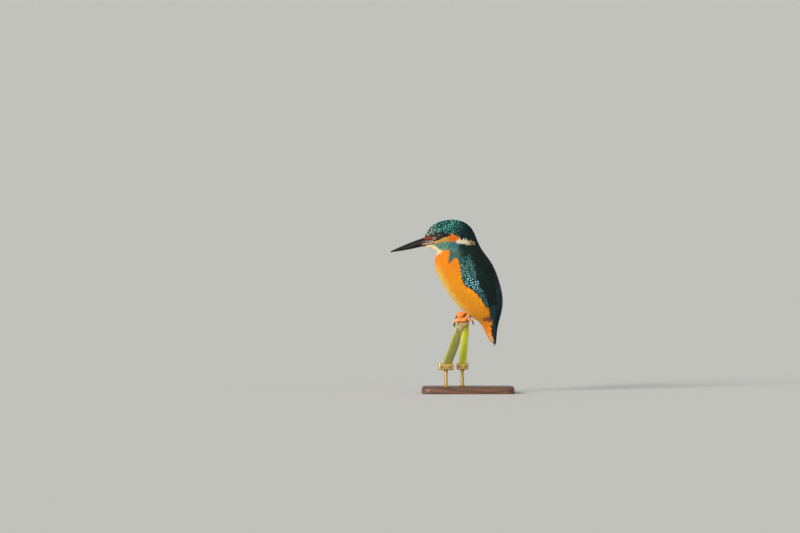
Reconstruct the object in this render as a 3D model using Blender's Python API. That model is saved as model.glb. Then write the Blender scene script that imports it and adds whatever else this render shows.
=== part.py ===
"""A common kingfisher, life size, gripping the fold of a bent reed-mace leaf on a small display stand.

The bird looks along -X, so its left side is at -Y. +Z is up, and the origin is the middle of the
underside of the base. Sizes in this file are in millimetres; MM turns them into Blender's metres.
The body is lofted whole between a back line and a belly line, then parted with thin cuts.
"""

from math import cos, pi, radians, sin
from typing import NamedTuple

import bmesh
import bpy
import numpy as np
from mathutils import Matrix, Vector
from mathutils.bvhtree import BVHTree

MM = 0.001

# Driving dimensions.
GAP = 0.34  # between neighbours that touch on the real bird
BASE_LENGTH, BASE_DEPTH, BASE_HEIGHT = 88.0, 60.0, 6.0
PERCH_TOP = 68.6  # height of the bent leaf under the near foot
LEAF_THICK, LEAF_EDGE = 2.2, 0.9
BILL_LENGTH = 33.5  # along X, from the forehead feathers to the tip
EYE_RADIUS, EYE_SUNK = 4.4, 3.5  # the ball, and how far its centre lies under the face
TOE_RADIUS, TOE_PITCH, CLAW_RADIUS = 0.95, 2.26, 0.55
ROD_RADIUS, CLIP_HEIGHT, CLIP_WALL, CLIP_HOLD = 1.5, 6.0, 1.3, 4.2
END_ROUND = 0.6  # how far a tube's rounded end reaches, and how wide it stays, as a share of its radius

RINGS_PER_STATION, COLUMNS = 2, 32


class Station(NamedTuple):
    """One slice of the feathered body: where it meets the back line and the belly line."""

    name: str
    back: tuple  # (x, z)
    belly: tuple  # (x, z)
    half_width: float
    widest: float  # where the slice is widest: -1 at the belly, 0 in the middle, 1 at the back
    sharp_top: float  # 1 is an ellipse, less is squarer, more comes to an edge
    sharp_low: float


BODY = [
    Station("bill_base", (-41.8, 147.7), (-41.8, 139.6), 5.0, 0.0, 1.0, 1.0),
    Station("lores", (-38.9, 153.8), (-38.6, 138.3), 7.2, -0.05, 1.0, 1.0),
    Station("forehead", (-32.2, 160.4), (-35.2, 137.2), 9.6, -0.05, 0.95, 1.0),
    Station("eye", (-22.5, 164.1), (-32.4, 136.0), 11.6, -0.05, 0.9, 1.0),
    Station("ear", (-11.5, 164.7), (-30.8, 134.9), 13.2, -0.1, 0.9, 1.0),
    Station("hind_crown", (-1.0, 160.9), (-29.5, 133.3), 13.8, -0.05, 0.95, 0.95),
    Station("nape", (5.3, 153.5), (-30.2, 130.6), 14.0, 0.0, 0.95, 0.9),
    Station("neck", (8.8, 144.9), (-31.4, 126.7), 15.0, 0.0, 0.92, 0.9),
    Station("shoulder", (13.6, 135.6), (-31.8, 121.6), 17.4, 0.0, 0.9, 0.92),
    Station("breast", (20.6, 126.2), (-30.6, 115.6), 19.2, 0.05, 0.9, 0.95),
    Station("back", (26.1, 116.0), (-26.8, 108.4), 20.2, 0.05, 0.9, 0.95),
    Station("belly", (30.3, 103.4), (-20.6, 97.4), 20.2, 0.05, 0.9, 0.95),
    Station("flank", (32.9, 90.4), (-12.6, 86.5), 18.6, 0.1, 0.9, 0.95),
    Station("thigh", (32.2, 79.0), (-2.6, 76.3), 15.4, 0.1, 0.85, 0.95),
    Station("vent", (29.9, 70.0), (8.6, 69.0), 11.2, 0.2, 0.8, 1.0),
    Station("undertail", (27.9, 62.0), (14.4, 62.2), 8.8, 0.45, 0.7, 1.15),
    Station("tail", (26.7, 53.4), (18.8, 52.9), 8.1, 0.6, 0.6, 1.3),
    Station("tail_end", (26.2, 47.6), (22.8, 47.0), 7.6, 0.5, 0.6, 1.2),
    Station("tail_tip", (25.9, 44.4), (24.9, 44.1), 5.8, 0.0, 0.8, 0.8),
]

# Planes that part the body, each by its line in profile: a point at the front and one at the back.
HEAD_CUT = ((-29.6, 133.2), (10.3, 140.0))
NECK_CUT = ((-31.8, 122.4), (17.4, 131.2))
TAIL_CUT = ((8.8, 69.3), (30.2, 71.6))


class WingSlice(NamedTuple):
    """The folded wing at one place from the shoulder to the tip, drawn in profile and laid on the body."""

    upper: tuple  # (x, z) of the edge towards the back
    lower: tuple  # (x, z) of the edge towards the belly
    proud: float  # how far it stands out of the body
    deep: float  # how far it lies in it


WING = [
    WingSlice((-2.6, 135.2), (-5.0, 134.2), 0.5, 0.8),
    WingSlice((4.4, 134.2), (-7.9, 128.6), 1.1, 2.2),
    WingSlice((11.8, 129.8), (-8.3, 120.6), 1.5, 3.0),
    WingSlice((19.2, 123.2), (-6.7, 112.2), 1.6, 3.2),
    WingSlice((25.0, 114.8), (-2.9, 103.2), 1.6, 3.2),
    WingSlice((28.8, 104.8), (3.6, 99.2), 1.5, 3.0),
    WingSlice((31.0, 94.4), (11.7, 91.8), 1.3, 2.6),
    WingSlice((31.2, 83.8), (17.4, 82.6), 1.1, 2.2),
    WingSlice((29.7, 73.4), (21.2, 72.8), 0.9, 1.5),
    WingSlice((28.0, 64.6), (23.8, 64.2), 0.7, 1.0),
    WingSlice((26.7, 58.4), (25.4, 58.4), 0.4, 0.5),
]
WING_COLUMNS, WING_ROWS = 19, 7

BILL_BASE_X = BODY[0].back[0]
BILL_BASE_TOP, BILL_BASE_EDGE, BILL_BASE_KEEL = BODY[0].back[1], 142.8, BODY[0].belly[1] + 0.1
BILL_BASE_HALF_WIDTH, BILL_TIP_HALF_WIDTH, BILL_TIP_HALF_DEPTH = 5.0, 0.32, 0.25
BILL_TIP = (BILL_BASE_X - BILL_LENGTH, 133.8)  # (x, z)
GAPE = (-33.4, 143.4)  # where the bill ends inside the face
CULMEN_BULGE, KEEL_BULGE = 0.5, 0.55
EYE_PLACE = (-27.0, 150.0)  # (x, z)


class Foot(NamedTuple):
    """One foot, gripping the leaf between its two edges, and the place in the belly its leg comes from."""

    side: str
    sole: Vector
    slope: float  # of the leaf under it, about X, in degrees
    front_edge: float  # x of the leaf's edge that the front toes hook over
    rear_edge: float  # and of the one that the hind toe holds
    hip: Vector


FEET = [
    Foot("left", Vector((-2.9, -3.2, PERCH_TOP)), 28.0, -9.7, 1.6, Vector((5.4, -5.0, 80.0))),
    Foot("right", Vector((-4.8, 3.2, PERCH_TOP + 5.2)), 46.0, -7.9, -1.0, Vector((-1.8, 5.0, 85.0))),
]


class LeafSlice(NamedTuple):
    """The bent leaf at one place from the cut end of its rising limb to that of its hanging limb."""

    place: tuple  # (x, y, z) of its middle
    width: float


LEAF = [
    LeafSlice((-5.5, 6.6, 24.0), 7.7),
    LeafSlice((-4.2, 6.6, 38.0), 7.0),
    LeafSlice((-3.0, 6.7, 52.0), 6.8),
    LeafSlice((-2.5, 6.8, 64.0), 7.2),
    LeafSlice((-3.5, 7.0, 72.0), 7.4),
    LeafSlice((-4.4, 6.0, 74.8), 6.6),
    LeafSlice((-4.4, 4.3, 73.05), 6.8),
    LeafSlice((-3.7, 0.5, 69.4), 8.8),
    LeafSlice((-4.6, -3.6, 66.95), 11.0),
    LeafSlice((-7.0, -6.4, 63.6), 9.4),
    LeafSlice((-9.7, -7.0, 57.6), 7.9),
    LeafSlice((-11.8, -7.0, 50.4), 8.8),
    LeafSlice((-14.8, -7.0, 42.0), 9.6),
    LeafSlice((-21.8, -7.0, 24.0), 9.5),
]


def clear_scene():
    """Removes whatever the scene holds, so that the file builds the same model each time."""
    for obj in list(bpy.data.objects):
        bpy.data.objects.remove(obj, do_unlink=True)


def finish(name, colour, roughness, metallic=0.0):
    """A Principled material of one colour, in linear RGB."""
    material = bpy.data.materials.new(name)
    material.use_nodes = True
    shader = material.node_tree.nodes["Principled BSDF"]
    shader.inputs["Base Color"].default_value = (*colour, 1.0)
    shader.inputs["Roughness"].default_value = roughness
    shader.inputs["Metallic"].default_value = metallic
    material.diffuse_color = (*colour, 1.0)
    return material


def spline(rows, at):
    """A natural cubic through rows, one row at each whole number, read at the places in at."""
    rows = np.asarray(rows, float)
    last = len(rows) - 1
    system = np.eye(last + 1)
    right = np.zeros_like(rows)
    for i in range(1, last):
        system[i, i - 1 : i + 2] = (1.0, 4.0, 1.0)
        right[i] = 6.0 * (rows[i - 1] - 2.0 * rows[i] + rows[i + 1])
    bend = np.linalg.solve(system, right)
    at = np.clip(np.asarray(at, float), 0.0, last)
    low = np.minimum(at.astype(int), last - 1)
    b = (at - low)[..., None]
    a = 1.0 - b
    return (
        a * rows[low]
        + b * rows[low + 1]
        + ((a**3 - a) * bend[low] + (b**3 - b) * bend[low + 1]) / 6.0
    )


BODY_ROWS = [
    (*s.back, *s.belly, s.half_width, s.widest, s.sharp_top, s.sharp_low) for s in BODY
]


def body_point(station, angle):
    """Points of the feathered body. The angle is 0 on the back, pi on the belly, positive on the left."""
    row = spline(BODY_ROWS, station)
    back, belly = row[..., 0:2], row[..., 2:4]
    half_width, widest = row[..., 4], row[..., 5]
    up, side = np.cos(angle), np.sin(angle)
    power = np.where(up > 0, row[..., 6], row[..., 7])
    along = up + widest * (1.0 - up**2)
    middle, reach = (back + belly) / 2, (back - belly) / 2
    profile = middle + reach * along[..., None]
    out = half_width * np.sign(side) * np.abs(side) ** power
    return np.stack([profile[..., 0], -out, profile[..., 1]], axis=-1)


def body_normal(station, angle):
    """Unit outward normals of the feathered body."""
    step = 1e-3
    across = body_point(station, angle + step) - body_point(station, angle - step)
    down = body_point(station + step, angle) - body_point(station - step, angle)
    normal = np.cross(across, down)
    return normal / np.linalg.norm(normal, axis=-1, keepdims=True)


def make_object(name, points, faces, material):
    """An object from points in millimetres, with its faces turned outwards."""
    mesh = bpy.data.meshes.new(name)
    mesh.from_pydata([tuple(c * MM for c in p) for p in points], [], faces)
    shaped = bmesh.new()
    shaped.from_mesh(mesh)
    bmesh.ops.recalc_face_normals(shaped, faces=shaped.faces)
    shaped.to_mesh(mesh)
    shaped.free()
    mesh.shade_smooth()
    mesh.set_sharp_from_angle(angle=radians(40.0))
    mesh.materials.append(material)
    obj = bpy.data.objects.new(name, mesh)
    bpy.context.scene.collection.objects.link(obj)
    return obj


def loft(name, rings, material):
    """A closed skin over rings of equal length, with a face over each end."""
    count = len(rings[0])
    points = [tuple(p) for ring in rings for p in ring]
    faces = [tuple(range(count)), tuple(len(points) - count + i for i in range(count))]
    for r in range(len(rings) - 1):
        for c in range(count):
            a, b = r * count + c, r * count + (c + 1) % count
            faces.append((a, b, b + count, a + count))
    return make_object(name, points, faces, material)


def helper(obj):
    """Marks an object as a cutter, which isn't part of the model."""
    obj.hide_render = True
    obj.display_type = "WIRE"
    return obj


def fattened(obj, by=GAP, corner_limit=2.0):
    """A cutter of an object's shape, larger by the gap that is kept round it, sharp corners included."""
    mesh = obj.data.copy()
    shaped = bmesh.new()
    shaped.from_mesh(mesh)
    shaped.normal_update()
    moves = [(v, v.normal * by * MM * min(v.calc_shell_factor(), corner_limit)) for v in shaped.verts]
    for vertex, move in moves:
        vertex.co += move
    shaped.to_mesh(mesh)
    shaped.free()
    cutter = bpy.data.objects.new(obj.name + "_cutter", mesh)
    bpy.context.scene.collection.objects.link(cutter)
    return helper(cutter)


def cut_by(obj, cutter):
    """Takes the cutter's shape out of an object."""
    modifier = obj.modifiers.new("cut_by_" + cutter.name, "BOOLEAN")
    modifier.operation = "DIFFERENCE"
    modifier.object = cutter


def whole_body(material):
    """The feathered bird from the base of the bill to the tip of the tail, without wings or legs."""
    stations = np.linspace(0, len(BODY) - 1, (len(BODY) - 1) * RINGS_PER_STATION + 1)
    angles = np.arange(COLUMNS) * 2 * pi / COLUMNS
    rings = [body_point(np.full(COLUMNS, s), angles) for s in stations]
    return loft("whole_body", rings, material)


def part_of(whole, name, above=None, below=None):
    """The piece of the whole that lies above one profile line and below another, closed with flat faces."""
    shaped = bmesh.new()
    shaped.from_mesh(whole.data)
    for line, keep in ((above, 1.0), (below, -1.0)):
        if line is None:
            continue
        front, rear = (Vector((x, 0.0, z)) for x, z in line)
        normal = Vector((0.0, 1.0, 0.0)).cross(front - rear).normalized()
        place = (front + normal * keep * GAP / 2) * MM
        found = bmesh.ops.bisect_plane(
            shaped,
            geom=shaped.verts[:] + shaped.edges[:] + shaped.faces[:],
            plane_co=place,
            plane_no=normal,
            clear_inner=keep > 0,
            clear_outer=keep < 0,
        )
        edges = [e for e in found["geom_cut"] if isinstance(e, bmesh.types.BMEdge)]
        bmesh.ops.holes_fill(shaped, edges=edges)
    bmesh.ops.recalc_face_normals(shaped, faces=shaped.faces)
    mesh = whole.data.copy()
    shaped.to_mesh(mesh)
    shaped.free()
    mesh.name = name
    obj = bpy.data.objects.new(name, mesh)
    bpy.context.scene.collection.objects.link(obj)
    return obj


def under_profile(places):
    """Finds the station and angle, on the left side, of the body's surface at places (x, z) in profile."""
    stations, angles = np.meshgrid(
        np.linspace(0.0, len(BODY) - 1.0, 140), np.linspace(0.05, pi - 0.05, 70), indexing="ij"
    )
    known = body_point(stations, angles)[..., (0, 2)].reshape(-1, 2)
    nearest = [int(np.argmin(((known - place) ** 2).sum(axis=1))) for place in places]
    found = np.stack([stations.ravel()[nearest], angles.ravel()[nearest]], axis=1)
    step = 1e-4
    for _ in range(12):
        here = body_point(found[:, 0], found[:, 1])[:, (0, 2)]
        by_station = (body_point(found[:, 0] + step, found[:, 1])[:, (0, 2)] - here) / step
        by_angle = (body_point(found[:, 0], found[:, 1] + step)[:, (0, 2)] - here) / step
        slopes = np.stack([by_station, by_angle], axis=2)
        found += 0.7 * np.linalg.solve(slopes, (places - here)[..., None])[..., 0]
    return found[:, 0], found[:, 1]


def wing(side, material):
    """A folded wing: a curved slab that wraps the side of the body and tapers to its tip."""
    table = [(*w.upper, *w.lower, w.proud, w.deep) for w in WING]
    across = np.linspace(0.0, 1.0, WING_ROWS)
    sign = 1.0 if side == "left" else -1.0
    rings = []
    for row in spline(table, np.linspace(0, len(WING) - 1, WING_COLUMNS)):
        places = row[0:2] + (row[2:4] - row[0:2]) * across[:, None]
        station, angle = under_profile(places)
        surface = body_point(station, angle * sign)
        normal = body_normal(station, angle * sign)
        swell = 0.32 + 0.68 * np.sqrt(1.0 - (2.0 * across - 1.0) ** 2)
        outer = surface + normal * (swell * row[4])[:, None]
        inner = surface - normal * (swell * row[5])[:, None]
        rings.append(list(outer) + list(inner[::-1]))
    return loft("wing_" + side, rings, material)


def bill_section(x):
    """Heights of the culmen, the closed edges and the keel of the bill at x, and half its width there."""
    if x > BILL_BASE_X:
        inside = (x - BILL_BASE_X) / (GAPE[0] - BILL_BASE_X)
        top = BILL_BASE_TOP + inside
        edge = BILL_BASE_EDGE + (GAPE[1] - BILL_BASE_EDGE) * inside
        return top, edge, BILL_BASE_KEEL, BILL_BASE_HALF_WIDTH + 0.9 * inside
    share = min((BILL_BASE_X - x) / BILL_LENGTH, 1.0)
    bulge = sin(pi * share)
    top = BILL_BASE_TOP + (BILL_TIP[1] + BILL_TIP_HALF_DEPTH - BILL_BASE_TOP) * share
    edge = BILL_BASE_EDGE + (BILL_TIP[1] - BILL_BASE_EDGE) * share
    keel = BILL_BASE_KEEL + (BILL_TIP[1] - BILL_TIP_HALF_DEPTH - BILL_BASE_KEEL) * share
    taper = BILL_BASE_HALF_WIDTH - BILL_TIP_HALF_WIDTH
    width = BILL_TIP_HALF_WIDTH + taper * (1.0 - share) ** 1.15
    return top + CULMEN_BULGE * bulge, edge, keel - KEEL_BULGE * bulge, width


def mandible(name, upper, material):
    """Half of the closed bill, lofted from inside the face to the tip."""
    turns = np.linspace(0.0, pi, 9)
    rings = []
    for x in np.linspace(GAPE[0], BILL_TIP[0], 13):
        top, edge, keel, half_width = bill_section(x)
        level = edge + (GAP / 2 if upper else -GAP / 2)
        height = max(top - level, 0.3) if upper else min(keel - level, -0.3)
        rings.append([(x, -half_width * cos(a), level + height * abs(sin(a)) ** 0.85) for a in turns])
    return loft(name, rings, material)


def eye(side, face, material):
    """An eyeball set into the face, and the larger ball that cuts its socket."""
    sign = -1.0 if side == "left" else 1.0
    x, z = EYE_PLACE
    start = Vector((x, sign * 40.0, z)) * MM
    place, normal, _, _ = face.ray_cast(start, Vector((0.0, -sign, 0.0)))
    centre = place - normal * EYE_SUNK * MM
    made = []
    for name, radius in (("eye_" + side, EYE_RADIUS), ("socket_" + side, EYE_RADIUS + GAP)):
        shaped = bmesh.new()
        bmesh.ops.create_icosphere(shaped, subdivisions=2, radius=radius * MM)
        mesh = bpy.data.meshes.new(name)
        shaped.to_mesh(mesh)
        shaped.free()
        mesh.shade_smooth()
        mesh.materials.append(material)
        obj = bpy.data.objects.new(name, mesh)
        obj.location = centre
        bpy.context.scene.collection.objects.link(obj)
        made.append(obj)
    helper(made[1])
    return made


def tube(name, route, radii, material, sides=8, rings=8):
    """A closed tube through the points of a route, with its radius following radii, round at both ends."""
    at = np.linspace(0, len(route) - 1, rings)
    line = spline([tuple(p) for p in route], at)
    size = spline([(r,) for r in radii], at)[:, 0]
    ahead = np.gradient(line, axis=0)
    ahead /= np.linalg.norm(ahead, axis=1, keepdims=True)
    side = np.array([0.0, 1.0, 0.0])
    shape = []
    for place, forward, radius in zip(line, ahead, size):
        side = side - forward * (side @ forward)
        side /= np.linalg.norm(side)
        up = np.cross(forward, side)
        shape.append((place, forward, side, up, radius))
    caps = []
    for (place, forward, side, up, radius), way in ((shape[0], -1.0), (shape[-1], 1.0)):
        cap = END_ROUND * radius
        caps.append((place + forward * way * cap, forward, side, up, cap))
    shape = [caps[0], *shape, caps[1]]
    turns = [2 * pi * k / sides for k in range(sides)]
    found = [[p + (s * cos(a) + u * sin(a)) * r for a in turns] for p, _, s, u, r in shape]
    return loft(name, found, material)


def foot_point(foot, forward, outward, height):
    """A point given along the foot: forward to the toes, outward from the body, and up from the sole."""
    sign = -1.0 if foot.side == "left" else 1.0
    turn = Matrix.Rotation(radians(foot.slope), 3, "X")
    return foot.sole + turn @ Vector((-forward, sign * outward, height))


def leg_and_foot(foot, skin, horn):
    """A leg with its sole pad, four toes that grip over the edges of the fold, and their claws."""
    height = TOE_RADIUS + GAP
    ankle = foot_point(foot, -1.7, 0.0, height + 2.9)
    knee = foot.hip.lerp(ankle, 0.5)
    pad = foot_point(foot, 0.0, 0.03, 1.1)
    instep = foot_point(foot, -0.4, 0.0, height + 0.9)
    leg = tube(
        "leg_" + foot.side,
        [pad, instep, ankle, knee, foot.hip],
        [1.15, 1.05, 1.05, 1.15, 1.5],
        skin,
        rings=10,
    )
    around_leg = fattened(leg)
    front = foot.sole.x - foot.front_edge
    rear = foot.rear_edge - foot.sole.x
    toes = (
        ("inner", -TOE_PITCH, front + 0.5, 3.4),
        ("middle", 0.0, front + 1.5, 5.4),
        ("outer", TOE_PITCH, front + 1.1, 4.6),
    )
    for toe, outward, reach, drop in toes:
        knuckle = foot_point(foot, reach * 0.55, outward, height + 0.3)
        bend = foot_point(foot, reach + 0.1, outward, height - 0.25)
        end = foot_point(foot, reach + 1.3, outward, height - 0.45 * drop)
        made = tube(
            f"toe_{foot.side}_{toe}",
            [foot_point(foot, 0.1, outward, height), knuckle, bend, end],
            [0.86, TOE_RADIUS, 0.9, 0.72],
            skin,
        )
        cut_by(made, around_leg)
        claw(foot, toe, outward, reach + 1.3, height - 0.45 * drop, drop, horn)
    reach = rear + 2.6
    made = tube(
        f"toe_{foot.side}_hind",
        [
            foot_point(foot, -0.4, 0.0, height),
            foot_point(foot, -rear * 0.55 - 0.4, 0.0, height + 0.2),
            foot_point(foot, -reach + 1.1, 0.0, height),
            foot_point(foot, -reach, 0.0, height - 1.4),
        ],
        [0.9, TOE_RADIUS, 0.88, 0.7],
        skin,
    )
    cut_by(made, around_leg)
    claw(foot, "hind", 0.0, -reach, height - 1.4, 4.2, horn)


def claw(foot, toe, outward, forward, height, drop, material):
    """A curved claw that carries on from the end of a toe, given in the foot's own directions."""
    way = 1.0 if forward > 0 else -1.0
    route = []
    for share in (0.0, 0.33, 0.67, 1.0):
        out = 0.85 * sin(share * pi * 0.85) - 0.05
        fall = 0.95 + GAP + drop * 0.78 * share
        route.append(foot_point(foot, forward + way * out, outward, height - fall))
    radii = [CLAW_RADIUS, 0.5, 0.38, 0.16]
    tube(f"claw_{foot.side}_{toe}", route, radii, material, sides=6, rings=5)


def leaf(material):
    """A short length of a reed-mace leaf, bent over sharply: flatter inside and rounded outside."""
    along = np.concatenate([np.linspace(0, 4, 6)[:-1], np.linspace(4, 10, 13), np.linspace(10, 13, 5)[1:]])
    rows = spline([(*s.place, s.width) for s in LEAF], along)
    ahead = np.gradient(rows[:, 0:3], axis=0)
    ahead[:, 0] = 0.0
    ahead /= np.linalg.norm(ahead, axis=1, keepdims=True)
    across = np.array([1.0, 0.0, 0.0])
    shares = np.linspace(-1.0, 1.0, 6)
    rings = []
    for row, forward in zip(rows, ahead):
        out = np.cross(forward, across)
        reach = across * row[3] / 2
        bulge = np.sqrt(1.0 - shares**2)
        outer = LEAF_EDGE / 2 + (LEAF_THICK - LEAF_EDGE) * 0.6 * bulge
        inner = LEAF_EDGE / 2 + (LEAF_THICK - LEAF_EDGE) * 0.4 * bulge
        front = [row[0:3] + reach * s + out * h for s, h in zip(shares, outer)]
        rear = [row[0:3] + reach * s - out * h for s, h in zip(shares, inner)]
        rings.append(front + rear[::-1])
    return loft("perch_leaf", rings, material)


def rounded_slab(name, length, depth, height, corner, chamfer, place, material):
    """A flat block with rounded corners and a chamfered upper edge."""
    rings = []
    for level, inset in ((0.0, 0.4), (0.4, 0.0), (height - chamfer, 0.0), (height, chamfer)):
        ring = []
        for quarter in range(4):
            for k in range(6):
                turn = (quarter + k / 5) * pi / 2
                x_sign = 1.0 if quarter in (0, 3) else -1.0
                y_sign = 1.0 if quarter in (0, 1) else -1.0
                radius = corner - inset
                x = x_sign * (length / 2 - corner) + radius * cos(turn)
                y = y_sign * (depth / 2 - corner) + radius * sin(turn)
                ring.append(tuple(place + Vector((x, y, level))))
        rings.append(ring)
    return loft(name, rings, material)


def stand(wood, brass):
    """The display stand: a base, and two rods with clips that hold the cut ends of the leaf."""
    rounded_slab("stand_base", BASE_LENGTH, BASE_DEPTH, BASE_HEIGHT, 9.0, 1.4, Vector((0, 0, 0)), wood)
    for name, end, beyond in (("back", LEAF[0], LEAF[1]), ("front", LEAF[-1], LEAF[-2])):
        cut, further = Vector(end.place), Vector(beyond.place)
        lean = (further - cut) * CLIP_HOLD / (further.z - cut.z)
        middle = cut + lean / 2
        floor = cut.z + CLIP_HOLD - CLIP_HEIGHT
        clip = rounded_slab(
            "stand_clip_" + name,
            end.width + abs(lean.x) + 2 * (CLIP_WALL + GAP),
            LEAF_THICK + 2 * (CLIP_WALL + GAP),
            CLIP_HEIGHT,
            1.6,
            0.3,
            Vector((middle.x, middle.y, floor)),
            brass,
        )
        pocket = fattened(bpy.data.objects["perch_leaf"])
        pocket.name = "pocket_" + name
        cut_by(clip, pocket)
        cap = GAP + END_ROUND * ROD_RADIUS
        rod = [Vector((middle.x, middle.y, z)) for z in (BASE_HEIGHT + cap, floor - cap)]
        tube("stand_rod_" + name, rod, [ROD_RADIUS, ROD_RADIUS], brass, sides=12, rings=2)


def main():
    """Builds the bird, its perch and its stand."""
    clear_scene()
    orange = finish("orange_plumage", (0.80, 0.27, 0.03), 0.85)
    teal = finish("teal_plumage", (0.02, 0.14, 0.15), 0.6)
    green = finish("wing_plumage", (0.015, 0.11, 0.11), 0.6)
    horn = finish("bill_horn", (0.02, 0.018, 0.018), 0.35)
    iris = finish("eye_dark", (0.012, 0.007, 0.005), 0.05)
    skin = finish("foot_skin", (0.62, 0.13, 0.04), 0.5)
    nail = finish("claw_horn", (0.03, 0.02, 0.018), 0.4)
    reed = finish("reed_leaf", (0.24, 0.33, 0.10), 0.55)
    wood = finish("stand_wood", (0.05, 0.028, 0.016), 0.45)
    brass = finish("stand_brass", (0.62, 0.46, 0.20), 0.3, 1.0)

    whole = helper(whole_body(orange))
    head = part_of(whole, "head", above=HEAD_CUT)
    neck = part_of(whole, "neck", above=NECK_CUT, below=HEAD_CUT)
    trunk = part_of(whole, "trunk", above=TAIL_CUT, below=NECK_CUT)
    tail = part_of(whole, "tail", below=TAIL_CUT)
    for piece, material in ((head, teal), (neck, teal), (tail, green)):
        piece.data.materials[0] = material

    for side in ("left", "right"):
        cutter = fattened(wing(side, green), 1.4 * GAP)
        for piece in (neck, trunk, tail):
            cut_by(piece, cutter)

    for name, upper in (("bill_upper", True), ("bill_lower", False)):
        cut_by(head, fattened(mandible(name, upper, horn)))

    shaped = bmesh.new()
    shaped.from_mesh(whole.data)
    face = BVHTree.FromBMesh(shaped)
    shaped.free()
    for side in ("left", "right"):
        cut_by(head, eye(side, face, iris)[1])

    for foot in FEET:
        leg_and_foot(foot, skin, nail)
        cut_by(trunk, bpy.data.objects[f"leg_{foot.side}_cutter"])
    for resting in ("toe_right_hind", "claw_right_hind"):
        cut_by(trunk, fattened(bpy.data.objects[resting]))

    leaf(reed)
    stand(wood, brass)


main()
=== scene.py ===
"""Looks of a life-size common kingfisher gripping a bent reed-mace leaf, on a small display stand.

Lengths are millimetres until a mesh is made. The bird looks along -X and its left side faces -Y.
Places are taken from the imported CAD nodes. Those of the markings are counted from the eye.
"""

import logging
import math
from collections import defaultdict
from collections.abc import Callable, Iterator, Sequence
from contextlib import contextmanager
from dataclasses import dataclass, field
from enum import Enum, IntEnum
from functools import partial

import bmesh
import bpy
import numpy as np
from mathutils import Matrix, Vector
from mathutils.bvhtree import BVHTree


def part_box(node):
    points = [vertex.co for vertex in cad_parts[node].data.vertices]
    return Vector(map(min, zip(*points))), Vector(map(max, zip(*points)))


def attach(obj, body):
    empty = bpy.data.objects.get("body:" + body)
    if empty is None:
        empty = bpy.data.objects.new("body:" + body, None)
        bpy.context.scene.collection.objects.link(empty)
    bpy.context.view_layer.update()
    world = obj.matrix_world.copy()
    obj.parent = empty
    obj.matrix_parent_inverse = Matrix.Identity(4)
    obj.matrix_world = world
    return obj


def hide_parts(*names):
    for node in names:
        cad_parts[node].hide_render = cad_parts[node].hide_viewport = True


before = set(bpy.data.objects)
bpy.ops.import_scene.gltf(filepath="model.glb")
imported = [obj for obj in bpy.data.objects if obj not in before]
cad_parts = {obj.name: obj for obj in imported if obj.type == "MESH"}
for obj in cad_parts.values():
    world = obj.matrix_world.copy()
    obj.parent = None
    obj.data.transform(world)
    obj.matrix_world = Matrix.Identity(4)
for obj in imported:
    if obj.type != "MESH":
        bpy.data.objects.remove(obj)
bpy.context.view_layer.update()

LOG = logging.getLogger("kingfisher")
MM = 0.001
BODY = "root"
JOIN_WITHIN = 1e-3
FLESH = ("head", "neck", "trunk", "tail", "wing_left", "wing_right")
SIDES = ("left", "right")
TOES = ("inner", "middle", "outer", "hind")
FAR_SIDE = 40.0
EVEN_KERNEL = (1.0, 2.0, 3.0, 2.0, 1.0)

Array = np.ndarray
Dice = np.random.Generator
Mesh = bpy.types.Mesh
Material = bpy.types.Material
Colour = tuple[float, float, float]
Pair = tuple[float, float]
Profile = tuple[Pair, ...]


def rgb(red: int, green: int, blue: int) -> Colour:
    """Scene-linear colour from the usual 0 to 255 display values."""
    shares = (value / 255.0 for value in (red, green, blue))
    return tuple(s / 12.92 if s <= 0.04045 else ((s + 0.055) / 1.055) ** 2.4 for s in shares)


def unit(vectors: Array) -> Array:
    """Vectors of length one, along the last axis."""
    return vectors / np.maximum(np.linalg.norm(vectors, axis=-1, keepdims=True), 1e-12)


def lengths_of(vectors: Array) -> Array:
    """How long vectors are, along the last axis."""
    return np.linalg.norm(vectors, axis=-1)


def passed_along(line: Array) -> Array:
    """How far along a line each of its points lies."""
    return np.concatenate(([0.0], np.cumsum(lengths_of(np.diff(line, axis=0)))))


def hump(value: Array) -> Array:
    """1 where value is 0, falling off smoothly to both sides."""
    return np.exp(-(value**2))


def ramp(low: float, high: float, value: Array) -> Array:
    """0 below low, 1 above high, and a smooth rise between them."""
    share = np.clip((value - low) / (high - low), 0.0, 1.0)
    return share * share * (3.0 - 2.0 * share)


def blend(first: Array, second: Array, share: Array) -> Array:
    """First turned into second by a share for each row."""
    return first + (second - first) * np.asarray(share)[..., None]


# ---- shader expressions


def _operator(operation: str, reflected: bool = False) -> Callable[..., "Wire"]:
    """An operator of Wire that adds a Math node, with its two sides swapped where it is reflected."""
    if reflected:
        return lambda self, other: self.board.math(operation, other, self)
    return lambda self, *other: self.board.math(operation, self, *other)


class Wire:
    """A shader socket that takes part in Python expressions."""

    def __init__(self, board: "Board", socket: bpy.types.NodeSocket | None) -> None:
        """Keep the socket and the board it is on."""
        self.board = board
        self.socket = socket

    __add__, __radd__ = _operator("ADD"), _operator("ADD", True)
    __sub__, __rsub__ = _operator("SUBTRACT"), _operator("SUBTRACT", True)
    __mul__, __rmul__ = _operator("MULTIPLY"), _operator("MULTIPLY", True)
    __pow__, __rpow__ = _operator("POWER"), _operator("POWER", True)
    __abs__ = _operator("ABSOLUTE")


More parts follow.
